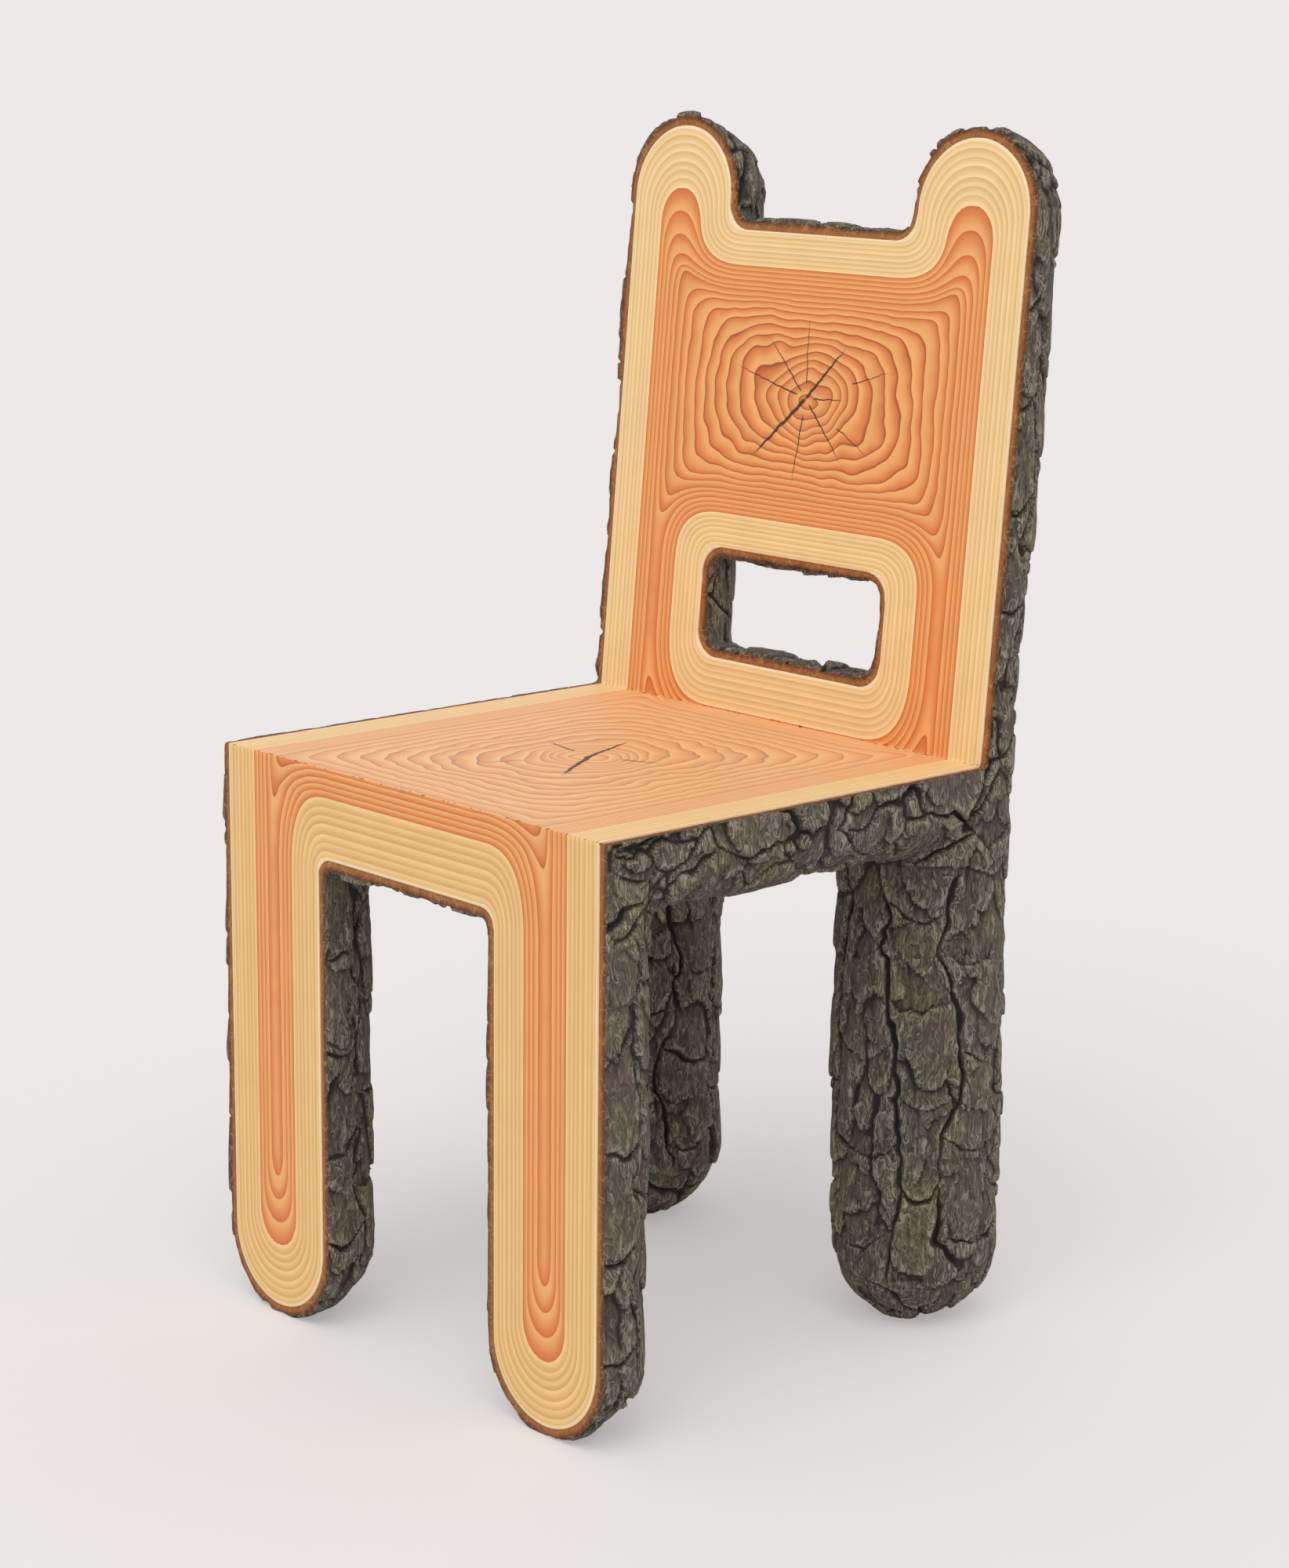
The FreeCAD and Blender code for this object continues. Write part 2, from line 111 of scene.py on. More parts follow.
front_low, front_high = node_box("front_facing")
FACE_HALF = front_high[0]
FRONT_Y = front_low[1]
WOOD_FOOT_Z = front_low[2]
SEAT_Z = node_box("seat_facing")[1][2]
BACK_Y = node_box("back_facing")[0][1]

RAKE = math.radians(4.9)
LOG_WIDTH = 112.0
PLATE = 10.0
BARK = 9.0
OPENING_TOP = 372.5
OPENING_CORNER = 15.0
WINDOW_LOW = 41.0
WINDOW_HIGH = 131.0
CREST = 386.0
BACK_HEIGHT = 466.0
WINDOW_CORNER = 22.0

HALF_GAP = FACE_HALF - LOG_WIDTH
LOG_RADIUS = LOG_WIDTH / 2
LEG_X = FACE_HALF - LOG_RADIUS
FRONT_HEIGHT = SEAT_Z - WOOD_FOOT_Z
SEAT_DEPTH = BACK_Y - FRONT_Y
SEAT_START = FRONT_HEIGHT
BACK_START = FRONT_HEIGHT + SEAT_DEPTH
EAR_CENTRE = BACK_HEIGHT - LOG_RADIUS
print("front", round(FRONT_HEIGHT, 1), "seat", round(SEAT_DEPTH, 1), "back", BACK_HEIGHT)

# %% [markdown]
# ## Camera
# The viewing angle was worked out from the straight edges of the chair: the camera stands to the front
# right, a metre up, and looks down a little. Its frame is 1644 by 2000 pixels, so the long side is
# upright.

# %% Camera at the photograph's viewing angle
CAMERA_PLACE = Vector((1.9158, -1.7564, 0.9981))
CAMERA_YAW = math.radians(47.556)
CAMERA_PITCH = math.radians(12.545)
CAMERA_ROLL = math.radians(0.5696)
FOCAL_PIXELS = 4384.75
FRAME_HEIGHT = 2000
SENSOR = 36.0

level_right = Vector((math.cos(CAMERA_YAW), math.sin(CAMERA_YAW), 0))
ahead = Vector(
    (
        -math.sin(CAMERA_YAW) * math.cos(CAMERA_PITCH),
        math.cos(CAMERA_YAW) * math.cos(CAMERA_PITCH),
        -math.sin(CAMERA_PITCH),
    )
)
level_up = level_right.cross(ahead)
right = math.cos(CAMERA_ROLL) * level_right + math.sin(CAMERA_ROLL) * level_up
up = math.cos(CAMERA_ROLL) * level_up - math.sin(CAMERA_ROLL) * level_right
camera_data = bpy.data.cameras.new("viewing_camera")
camera_data.sensor_width = SENSOR
camera_data.lens = FOCAL_PIXELS * SENSOR / FRAME_HEIGHT
camera = bpy.data.objects.new("viewing_camera", camera_data)
camera.matrix_world = Matrix.Translation(CAMERA_PLACE) @ Matrix((right, up, -ahead)).transposed().to_4x4()
bpy.context.scene.collection.objects.link(camera)
bpy.context.scene.camera = camera
print("camera lens", round(camera_data.lens, 2), "mm")

# %% [markdown]
# ## Repeatable noise
# Bark and rings both need irregularity that is the same on every run. A whole-number cell is scrambled
# into a fraction, and smooth noise and plate cells are both built on that.

# %% Noise helpers
SCRAMBLE = (0x8DA6B343, 0xD8163841, 0xCB1AB31F, 0x9E3779B1)


def scramble(cells, seed):
    """A repeatable fraction for each whole-number cell, from three columns."""
    x, y, z = (cells[:, i].astype(np.int64).astype(np.uint32) for i in range(3))
    key = np.uint32(seed * SCRAMBLE[3] & 0xFFFFFFFF)
    mixed = x * np.uint32(SCRAMBLE[0]) ^ y * np.uint32(SCRAMBLE[1]) ^ z * np.uint32(SCRAMBLE[2]) ^ key
    mixed ^= mixed >> np.uint32(15)
    mixed *= np.uint32(0x2C1B3C6D)
    mixed ^= mixed >> np.uint32(12)
    mixed *= np.uint32(0x297A2D39)
    mixed ^= mixed >> np.uint32(15)
    return mixed.astype(np.float64) / 2**32


def smooth_noise(points, seed):
    """Smooth noise from -1 to 1, with lumps about one unit apart."""
    floor = np.floor(points)
    part = points - floor
    part = part * part * (3 - 2 * part)
    total = np.zeros(len(points))
    for corner in np.ndindex(2, 2, 2):
        weight = np.prod(np.where(corner, part, 1 - part), axis=1)
        total += weight * scramble(floor + corner, seed)
    return 2 * total - 1


def smooth_step(low, high, value):
    """0 below low, 1 above high and an S curve between."""
    share = np.clip((value - low) / (high - low), 0, 1)
    return share * share * (3 - 2 * share)


print("noise check", round(float(smooth_noise(np.array([[0.3, 0.7, 0.1]]), 1)[0]), 4))

# %% [markdown]
# ## Outlines of the three faces
# The faces are drawn on one unfolded sheet: x across, and s up the front, along the seat and up the back.
# One function says how far a point lies outside the wood. It is used to clip the plates and to find the
# bark's rim.

# %% Distances on the unfolded sheet


def hole_distance(x, s, low, high, corner):
    """How far a point lies outside a rounded hole between the legs, negative inside it."""
    across = np.abs(x) - (HALF_GAP - corner)
    along = np.maximum(low + corner - s, s - (high - corner))
    reach = np.hypot(np.maximum(across, 0), np.maximum(along, 0))
    inside = np.minimum(np.maximum(across, along), 0)
    return reach + inside - corner


FAR = 5000.0


def opening_distance(x, s):
    return hole_distance(x, s, -FAR, OPENING_TOP, OPENING_CORNER)


def window_distance(x, rise):
    return hole_distance(x, rise, WINDOW_LOW, WINDOW_HIGH, WINDOW_CORNER)


def notch_distance(x, rise):
    return hole_distance(x, rise, CREST, FAR, WINDOW_CORNER)


def outside_front(x, s):
    """Distance outside the wood of the front face, negative on the wood."""
    straight = np.maximum(np.abs(x) - FACE_HALF, -opening_distance(x, s))
    foot = np.hypot(np.abs(x) - LEG_X, s - LOG_RADIUS) - LOG_RADIUS
    return np.where(s < LOG_RADIUS, foot, straight)


def outside_seat(x, s):
    """Distance outside the seat's two sides."""
    return np.abs(x) - FACE_HALF


def outside_back(x, rise):
    """Distance outside the wood of the back, where rise is measured up it from the seat."""
    holes = np.maximum(-window_distance(x, rise), -notch_distance(x, rise))
    straight = np.maximum(np.abs(x) - FACE_HALF, holes)
    ear = np.hypot(np.abs(x) - LEG_X, rise - EAR_CENTRE) - LOG_RADIUS
    return np.where(rise > EAR_CENTRE, ear, straight)


panel_middle = np.array([(WINDOW_HIGH + CREST) / 2])
print("wood round the middle of the panel", -outside_back(np.zeros(1), panel_middle).round(1), "mm")

# %% [markdown]
# ## The depth that the rings follow
# On the real faces each ring keeps its distance from the nearest edge, as if the whole chair were one
# slice of a strange log. A plain nearest distance would leave sharp creases, so the distances to all
# edges are combined with a power mean, which rounds the creases off. Rings are not equally wide
# everywhere: they spread out at the round ends and squeeze together below the crest, so each kind of edge
# has a short table from distance to ring depth.

# %% Tables from distance to ring depth, in millimetres
RING_SHARPNESS = 7.0
LEAST = 1e-3
SIDE_TABLE = ((0, 56, 430), (0, 56, 262))
APRON_TABLE = ((0, 48, 71, 600), (0, 33, 56, 347))
SILL_TABLE = ((0, 40, 63, 600), (0, 33, 56, 351))
BACK_SIDE_TABLE = ((0, 33, 52, 68, 104, 150, 187, 215, 430), (0, 33, 52, 64, 85, 110, 131, 146, 304))
CREST_TABLE = ((0, 28, 43, 61, 73, 97, 129, 600), (0, 33, 52, 75, 87, 105, 135, 494))
CORNER_SQUARENESS = 2.8
BACK_TABLE_FADE = (0, 60)


def blend_distances(distances):
    """A smooth nearest distance."""
    total = sum(np.maximum(d, LEAST) ** -RING_SHARPNESS for d in distances)
    return total ** (-1 / RING_SHARPNESS)


def hole_depth(x, s, low, high, corner, table):
    """Ring depth round a hole: the plain distance beside it, and a table's depth above and below it.
    The rings turn its corners a little more squarely than arcs would."""
    along = np.maximum(low - s, s - high)
    stretched = np.where(along > 0, np.interp(along, *table), along)
    beside = np.maximum(np.abs(x) - HALF_GAP + corner, 0)
    above = np.maximum(stretched + corner, 0)
    return (beside**CORNER_SQUARENESS + above**CORNER_SQUARENESS) ** (1 / CORNER_SQUARENESS) - corner


def edge_depth(x, s):
    """Depth under the straight edges and the holes, without the round ends."""
    rise = s - BACK_START
    edges = []
    for side in (x + FACE_HALF, FACE_HALF - x):
        low_down, high_up = np.interp(side, *SIDE_TABLE), np.interp(side, *BACK_SIDE_TABLE)
        edges.append(low_down + smooth_step(*BACK_TABLE_FADE, rise) * (high_up - low_down))
    edges.append(hole_depth(x, s, -FAR, OPENING_TOP, OPENING_CORNER, APRON_TABLE))
    over = hole_depth(x, rise, WINDOW_LOW, WINDOW_HIGH, WINDOW_CORNER, CREST_TABLE)
    under = hole_depth(x, rise, WINDOW_LOW, WINDOW_HIGH, WINDOW_CORNER, SILL_TABLE)
    edges.append(np.where(rise > WINDOW_LOW, over, under))
    edges.append(hole_depth(x, rise, CREST, FAR, WINDOW_CORNER, CREST_TABLE))
    return blend_distances(edges)


seat_middle = np.array([SEAT_START + SEAT_DEPTH / 2])
print("depth in the middle of the seat", edge_depth(np.zeros(1), seat_middle).round(1), "mm")

# %% [markdown]
# In a round end each ring is a long U: straight sides, and half an ellipse for its tip. The tips lie
# further apart than the sides do, so a second pair of tables says where each ring's tip is and how long
# its rounding is. The ring through a point has no plain formula then, so it is found by halving the
# search range again and again. Towards the middle of the chair the round ends let the rings go, so there
# the tip is moved away.

# %% Rings in the round ends of legs and posts
TIP_PLACE = (
    (0, 33, 37.8, 42.6, 47.4, 52.2, 60, 85, 150, 900),
    (0, 49, 67, 85, 101, 111, 119, 132, 156, 400),
)
TIP_LENGTH = ((0, 33, 45, 56), (LOG_RADIUS, 28, 27, 24))
TIP_RELEASE = 60.0
RELEASE_FADE = (48, 115)
HALVINGS = 24


def round_tip(depth, tip):
    """Limits a depth near a round end: tip is the distance from its outermost point."""
    low = np.zeros_like(depth)
    high = np.minimum(depth, LOG_RADIUS)
    aside = LOG_RADIUS - high
    for _ in range(HALVINGS):
        guess = (low + high) / 2
        length = np.interp(guess, *TIP_LENGTH)
        beyond = np.maximum(np.interp(guess, *TIP_PLACE) + length - tip, 0) / length
        fits = (aside / np.maximum(LOG_RADIUS - guess, LEAST)) ** 2 + beyond**2 < 1
        low = np.where(fits, guess, low)
        high = np.where(fits, high, guess)
    far_in = np.minimum(depth, np.interp(tip, TIP_PLACE[1], TIP_PLACE[0]))
    return np.where(depth < LOG_RADIUS, low, far_in)


def sheet_depth(x, s):
    """Depth under the nearest edge of the wood, all over the unfolded sheet."""
    tip = np.minimum(s, BACK_START + BACK_HEIGHT - s)
    tip = tip + TIP_RELEASE * smooth_step(*RELEASE_FADE, LEG_X - np.abs(x))
    return round_tip(edge_depth(x, s), tip)


foot_depth = sheet_depth(np.array([LEG_X]), np.array([LOG_RADIUS]))
print("depth where a foot's round starts", foot_depth.round(1), "mm")

# %% [markdown]
# ## Wander
# No ring is a perfect curve, so smooth noise pushes each place about before its depth is looked up. The
# grid of that noise is turned on the sheet. A grid that ran along the middle line would leave small
# points on every ring there.

# %% Wander of the rings
WOBBLE = 7.5
WOBBLE_FADE = (52, 96)
BROAD_WANDER, SMALL_WANDER, SMALL_SHARE = 36, 17, 0.4
GRID_COSINE, GRID_SINE = 0.8, 0.6


def wander(x, s, lump, seed):
    """Smooth noise over the sheet, with lumps of some size on the turned grid."""
    across = (GRID_COSINE * x + GRID_SINE * s) / lump
    along = (GRID_COSINE * s - GRID_SINE * x) / lump
    return smooth_noise(np.column_stack([across, along, np.full(len(x), 0.5)]), seed)


def wobble(x, s, seed):
    """A broad wander and a smaller one together."""
    return wander(x, s, BROAD_WANDER, seed) + SMALL_SHARE * wander(x, s, SMALL_WANDER, seed + 1)


print("wobble in the middle of the seat", (WOBBLE * wobble(np.zeros(1), seat_middle, 11)).round(1), "mm")

# %% [markdown]
# ## A heart for the back and one for the seat
# Where the four edges are equally far away the depth has a flat top, which would make the innermost rings
# very wide. Near each pith the depth is therefore swapped for a cone, so that the rings stay even and
# close round one point.

# %% The two piths
PITH_NEAR, PITH_FAR = 20.0, 64.0
SEAT_SQUASH, SEAT_STEEPNESS = 0.95, 0.62
BACK_SQUASH, BACK_STEEPNESS = 0.66, 0.74
SEAT_MARGIN = 60
PANEL_SPAN = (190, 340)
SEARCH_STEPS, TURN_STEPS = 400, 60


def find_pith(s_low, s_high, squash, steepness):
    """Where the depth is greatest between two places on the middle line, the depth round it, and the squash
    and steepness of its cone."""
    s = np.linspace(s_low, s_high, SEARCH_STEPS)
    place = s[np.argmax(sheet_depth(np.zeros_like(s), s))]
    turn = np.linspace(0, math.tau, TURN_STEPS)
    around = sheet_depth(PITH_FAR / squash * np.cos(turn), place + PITH_FAR * np.sin(turn))
    return place, float(around.mean()), squash, steepness


seat_pith = find_pith(SEAT_START + SEAT_MARGIN, BACK_START - SEAT_MARGIN, SEAT_SQUASH, SEAT_STEEPNESS)
back_pith = find_pith(BACK_START + PANEL_SPAN[0], BACK_START + PANEL_SPAN[1], BACK_SQUASH, BACK_STEEPNESS)


def ring_depth(x, s):
    """Depth that the rings follow: wobbled, and closed to a cone round each pith."""
    amount = WOBBLE * smooth_step(*WOBBLE_FADE, sheet_depth(x, s))
    x_moved = x + amount * wobble(x, s, 11)
    s_moved = s + amount * wobble(x, s, 13)
    depth = sheet_depth(x_moved, s_moved)
    for place, around, squash, steepness in (seat_pith, back_pith):
        reach = np.hypot(squash * x_moved, s_moved - place)
        cone = around + steepness * (PITH_FAR - reach)
        depth += (1 - smooth_step(PITH_NEAR, PITH_FAR, reach)) * (cone - depth)
    return depth


print("piths", [[round(float(v), 1) for v in pith] for pith in (seat_pith, back_pith)])

# %% [markdown]
# ## Counting the rings
# Seven narrow rings make the sapwood, and past it a ring takes a little more depth. A table turns depth
# into a count of rings, whose fraction says how far through one ring a point lies.

# %% From depth to a count of rings
COUNT_TABLE = ((0, 33, 57, 537), (0, 7, 12, 92))


def ring_count(x, s):
    return np.interp(ring_depth(x, s), *COUNT_TABLE)


print("rings to the pith of the back", ring_count(np.zeros(1), np.array([back_pith[0]])).round(1))

# %% [markdown]
# ## Face plates
# Each face is a plate 10 mm thick. Its outline is drawn with rounded corners, filled with a fine mesh,
# and given eased edges. A triangulation that keeps to the outline is the simplest way to mesh a shape
# with holes. Each vertex stores its ring count and its place on the sheet, so the material can draw the
# rings far finer than the mesh.

# %% Outline helpers
OUTLINE_STEP = 2.4
TINY = 1e-6


def rounded_loop(corners):
    """Points along a closed outline whose corners are (x, s, radius)."""
    points = []
    count = len(corners)
    for i in range(count):
        before, here, after = (np.array(corners[(i + k) % count][:2], float) for k in (-1, 0, 1))
        radius = corners[i][2]
        back_way = (before - here) / np.linalg.norm(before - here)
        on_way = (after - here) / np.linalg.norm(after - here)
        half = math.acos(np.clip(back_way @ on_way, -1, 1)) / 2
        if radius == 0:
            points.append(here)
            continue
        middle = (back_way + on_way) / np.linalg.norm(back_way + on_way)
        centre = here + middle * radius / math.sin(half)
        first = here + back_way * radius / math.tan(half) - centre
        last = here + on_way * radius / math.tan(half) - centre
        turn = math.pi - 2 * half
        steps = max(2, math.ceil(turn * radius / OUTLINE_STEP))
        for k in range(steps + 1):
            share = k / steps
            arm = (first * math.sin((1 - share) * turn) + last * math.sin(share * turn)) / math.sin(turn)
            points.append(centre + arm)
    kept = [p for p, q in zip(points, points[-1:] + points[:-1]) if np.linalg.norm(p - q) > TINY]
    dense = []
    for start, end in zip(kept, kept[1:] + kept[:1]):
        pieces = max(1, round(np.linalg.norm(end - start) / OUTLINE_STEP))
        dense += [start + (end - start) * k / pieces for k in range(pieces)]
    return np.array(dense)


def inward(loop):
    """The direction into the wood at each point of an outline that has the wood on its left."""
    along = np.roll(loop, -1, axis=0) - np.roll(loop, 1, axis=0)
    along /= np.linalg.norm(along, axis=1)[:, None]
    return np.column_stack([-along[:, 1], along[:, 0]])


sample_square = rounded_loop([(0, 0, 0), (24, 0, 0), (24, 24, 0), (0, 24, 0)])
print("a 24 mm square has", len(sample_square), "outline points")

# %% [markdown]
# Meshes are filled from whole arrays at once, which is far quicker than adding one vertex at a time.
# Values kept at the vertices are called attributes, and materials can read them by name.

# %% Mesh helpers


def new_mesh(name, points, faces):
    """A mesh object from points in millimetres and lists of faces."""
    mesh = bpy.data.meshes.new(name)
    mesh.vertices.add(len(points))
    mesh.vertices.foreach_set("co", (np.asarray(points) * MM).astype(np.float32).ravel())
    sizes = np.concatenate([np.full(len(group), group.shape[1]) for group in faces])
    corners = np.concatenate([group.ravel() for group in faces]).astype(np.int32)
    mesh.loops.add(len(corners))
    mesh.loops.foreach_set("vertex_index", corners)
    mesh.polygons.add(len(sizes))
    mesh.polygons.foreach_set("loop_start", np.concatenate([[0], np.cumsum(sizes)[:-1]]).astype(np.int32))
    mesh.update(calc_edges=True)
    mesh.validate()
    made = bpy.data.objects.new(name, mesh)
    bpy.context.scene.collection.objects.link(made)
    return made


def store(made, name, values):
    """A value, or a vector, kept at each vertex."""
    values = np.asarray(values, np.float32)
    kind = "FLOAT" if values.ndim == 1 else "FLOAT_VECTOR"
    layer = made.data.attributes.new(name, kind, "POINT")
    layer.data.foreach_set("value" if values.ndim == 1 else "vector", values.ravel())


# %% [markdown]
# The plate builder draws an outline, moves a copy of it in by the easing, and fills that with a grid of
# points. Walls join the front to a back face that lies one plate thickness behind it.

# %% Face plate builder
EASED = 0.5
EDGE_ROOM = 1.2
MERGE_WITHIN = 1e-5
ON_WOOD = -1e-4


def triangles_inside(points, loops, outside):
    """Triangles over the points that keep to the outlines and stay on the wood."""
    edges = []
    start = 0
    for loop in loops:
        count = len(loop)
        edges += [(start + k, start + (k + 1) % count) for k in range(count)]
        start += count
    flat = [Vector((float(p[0]), float(p[1]))) for p in points]
    made = delaunay_2d_cdt(flat, edges, [], 0, MERGE_WITHIN)
    placed = np.array([tuple(v) for v in made[0]])
    faces = np.array([f for f in made[2] if len(f) == 3])
    centre = placed[faces].mean(axis=1)
    return placed, faces[outside(centre[:, 0], centre[:, 1]) < ON_WOOD]


def face_plate(name, loops, outside, place, start, sharp, mitre):
    """A closed plate: eased outline, fine front, walls and back. sharp marks the outline points left
    uneased, and mitre says how far the back edge is drawn in at each."""
    rims = [loop + inward(loop) * np.where(sharp(loop), 0, EASED)[:, None] for loop in loops]
    low = np.min([loop.min(axis=0) for loop in loops], axis=0)
    high = np.max([loop.max(axis=0) for loop in loops], axis=0)
    across = np.arange(low[0], high[0], OUTLINE_STEP)
    along = np.arange(low[1], high[1], OUTLINE_STEP)
    grid = np.stack(np.meshgrid(across, along, indexing="ij"), axis=-1).reshape(-1, 2)
    grid[:, 0] += np.where(np.round(grid[:, 1] / OUTLINE_STEP) % 2, OUTLINE_STEP / 2, 0)
    edge_room = np.minimum(grid[:, 1] - low[1], high[1] - grid[:, 1])
    keep = (outside(grid[:, 0], grid[:, 1]) < -EASED - EDGE_ROOM) & (edge_room > EDGE_ROOM)
    flat, front = triangles_inside(np.vstack([*rims, grid[keep]]), rims, outside)
    outline = np.vstack(loops)
    drawn_in = outline + mitre(outline)
    count, top = len(outline), len(flat)
    points = [place(flat[:, 0], flat[:, 1], 0)]
    points.append(place(outline[:, 0], outline[:, 1], np.where(sharp(outline), 0, EASED)))
    points.append(place(drawn_in[:, 0], drawn_in[:, 1], PLATE))
    walls = []
    begin = 0
    for loop in loops:
        here = begin + np.arange(len(loop))
        after = np.roll(here, -1)
        walls.append(np.column_stack([here, top + here, top + after, after]))
        walls.append(np.column_stack([top + here, top + count + here, top + count + after, top + after]))
        begin += len(loop)
    back = triangles_inside(drawn_in, loops, outside)[1]
    made = new_mesh(name, np.vstack(points), [front, *walls, back[:, ::-1] + top + count])
    sheet = np.vstack([flat, outline, outline]) + [0, start]
    store(made, "ring_count", ring_count(sheet[:, 0], sheet[:, 1]))
    store(made, "sheet_place", np.column_stack([sheet, np.zeros(len(sheet))]))
    return made


print("plates are", PLATE, "mm thick, with edges eased by", EASED, "mm")

# %% [markdown]
# The front plate and the seat plate meet in a mitre, so the arris between them stays crisp. Wherever two
# plates meet, their outline is left sharp. Everywhere else it is eased by half a millimetre.

# %% From the sheet to the chair


def on_front(x, s, depth):
    """Places on the front face, or so far behind it."""
    return np.column_stack([x, FRONT_Y + depth + 0 * x, WOOD_FOOT_Z + s])


def on_seat(x, s, depth):
    """Places on the seat, or so far under it."""
    return np.column_stack([x, FRONT_Y + s, SEAT_Z - depth + 0 * x])


def on_back(x, rise, depth):
    """Places on the raked back, or so far behind it."""
    y = BACK_Y + depth * math.cos(RAKE) + rise * math.sin(RAKE)
    z = SEAT_Z - depth * math.sin(RAKE) + rise * math.cos(RAKE)
    return np.column_stack([x, y, z])


def at(value):
    """Marks the outline points that lie on a line across the sheet."""
    return lambda loop: np.abs(loop[:, 1] - value) < TINY


def shift_at(value, by):
    """Draws the back edge of a mitred outline in by so much."""
    return lambda loop: np.column_stack([np.zeros(len(loop)), np.where(at(value)(loop), by, 0)])


ear_tip = on_back(np.array([LEG_X]), np.array([BACK_HEIGHT]), 0)[0]
print("tip of the right ear", ear_tip.round(1))

# %% [markdown]
# Each outline is a list of corners with a radius, walked with the wood on its left. The window is a
# second outline of the back, walked the other way round.

# %% Outlines of the faces
front_loop = rounded_loop(
    [
        (-FACE_HALF, FRONT_HEIGHT, 0),
        (-FACE_HALF, 0, LOG_RADIUS),
        (-HALF_GAP, 0, LOG_RADIUS),
        (-HALF_GAP, OPENING_TOP, OPENING_CORNER),
        (HALF_GAP, OPENING_TOP, OPENING_CORNER),
        (HALF_GAP, 0, LOG_RADIUS),
        (FACE_HALF, 0, LOG_RADIUS),
        (FACE_HALF, FRONT_HEIGHT, 0),
    ]
)
seat_loop = rounded_loop(
    [(-FACE_HALF, 0, 0), (FACE_HALF, 0, 0), (FACE_HALF, SEAT_DEPTH, 0), (-FACE_HALF, SEAT_DEPTH, 0)]
)
back_loop = rounded_loop(
    [
        (-FACE_HALF, 0, 0),
        (FACE_HALF, 0, 0),
        (FACE_HALF, BACK_HEIGHT, LOG_RADIUS),
        (HALF_GAP, BACK_HEIGHT, LOG_RADIUS),
        (HALF_GAP, CREST, WINDOW_CORNER),
        (-HALF_GAP, CREST, WINDOW_CORNER),
        (-HALF_GAP, BACK_HEIGHT, LOG_RADIUS),
        (-FACE_HALF, BACK_HEIGHT, LOG_RADIUS),
    ]
)
window_loop = rounded_loop(
    [
        (-HALF_GAP, WINDOW_LOW, WINDOW_CORNER),
        (-HALF_GAP, WINDOW_HIGH, WINDOW_CORNER),
        (HALF_GAP, WINDOW_HIGH, WINDOW_CORNER),
        (HALF_GAP, WINDOW_LOW, WINDOW_CORNER),
    ]
)
print("outline points", [len(loop) for loop in (front_loop, seat_loop, back_loop, window_loop)])

# %% Front, seat and back plates
front_plate = face_plate(
    "front_ringed_face",
    [front_loop],
    outside_front,
    on_front,
    0,
    at(FRONT_HEIGHT),
    shift_at(FRONT_HEIGHT, -PLATE),
)
seat_plate = face_plate(
    "seat_ringed_face",
    [seat_loop],
    outside_seat,
    on_seat,
    SEAT_START,
    lambda loop: at(0)(loop) | at(SEAT_DEPTH)(loop),
    shift_at(0, PLATE),
)
back_plate = face_plate(
    "back_ringed_face",
    [back_loop, window_loop],
    outside_back,
    on_back,
    BACK_START,
    at(0),
    shift_at(0, 0),
)
for plate, solid_name in (
    (front_plate, "front_facing"),
    (seat_plate, "seat_facing"),
    (back_plate, "back_facing"),
):
    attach(plate, "root")
    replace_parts(plate, solid_name)
    print(plate.name, len(plate.data.vertices), "vertices")

# %% [markdown]
# ## A skin for the bark
# Bark runs over legs, rails and posts without a break, so it is made as one skin and cut into pieces at
# the end. A voxel remesh of the solids, without the hidden fittings, gives that skin: even little squares
# over the outside, nothing inside.

# %% Voxel skin over the solids
VOXEL = 2.0
HIDDEN_FITTINGS = ("dowels", "screws", "corner_block")


def all_triangles(names):
    """Points and triangles of several solids together."""
    points, triangles = [], []
    begin = 0
    for name in names:
        mesh = frame["nodes"][name].data
        mesh.calc_loop_triangles()
        place = np.empty(len(mesh.vertices) * 3, np.float32)
        mesh.vertices.foreach_get("co", place)
        corner = np.empty(len(mesh.loop_triangles) * 3, np.int32)
        mesh.loop_triangles.foreach_get("vertices", corner)
        points.append(place.reshape(-1, 3) / MM)
        triangles.append(corner.reshape(-1, 3) + begin)
        begin += len(mesh.vertices)
    return np.vstack(points), np.vstack(triangles)


def mesh_arrays(mesh):
    """Vertices in millimetres and four-sided faces of a mesh."""
    points = np.empty(len(mesh.vertices) * 3, np.float32)
    mesh.vertices.foreach_get("co", points)
    corners = np.empty(len(mesh.loops), np.int32)
    mesh.loops.foreach_get("vertex_index", corners)
    return points.reshape(-1, 3).astype(float) / MM, corners.reshape(-1, 4)


solids = [name for name in sorted(frame["nodes"]) if not any(word in name for word in HIDDEN_FITTINGS)]
solid_points, solid_triangles = all_triangles(solids)
block = new_mesh("solid_block", solid_points, [solid_triangles])
remesh = block.modifiers.new("even skin", "REMESH")
remesh.mode = "VOXEL"
remesh.voxel_size = VOXEL * MM
skin_mesh = bpy.data.meshes.new_from_object(block.evaluated_get(bpy.context.evaluated_depsgraph_get()))
skin, squares = mesh_arrays(skin_mesh)
bpy.data.objects.remove(block)
bpy.data.meshes.remove(skin_mesh)
print("skin", len(skin), "vertices", len(squares), "squares")

# %% [markdown]
# Smoothing moves every vertex half-way to the mean of its neighbours. Ten rounds take the voxel steps
# out. The zone under the seat, where rails and legs join, gets sixty more, so that they grow together
# like a fork.

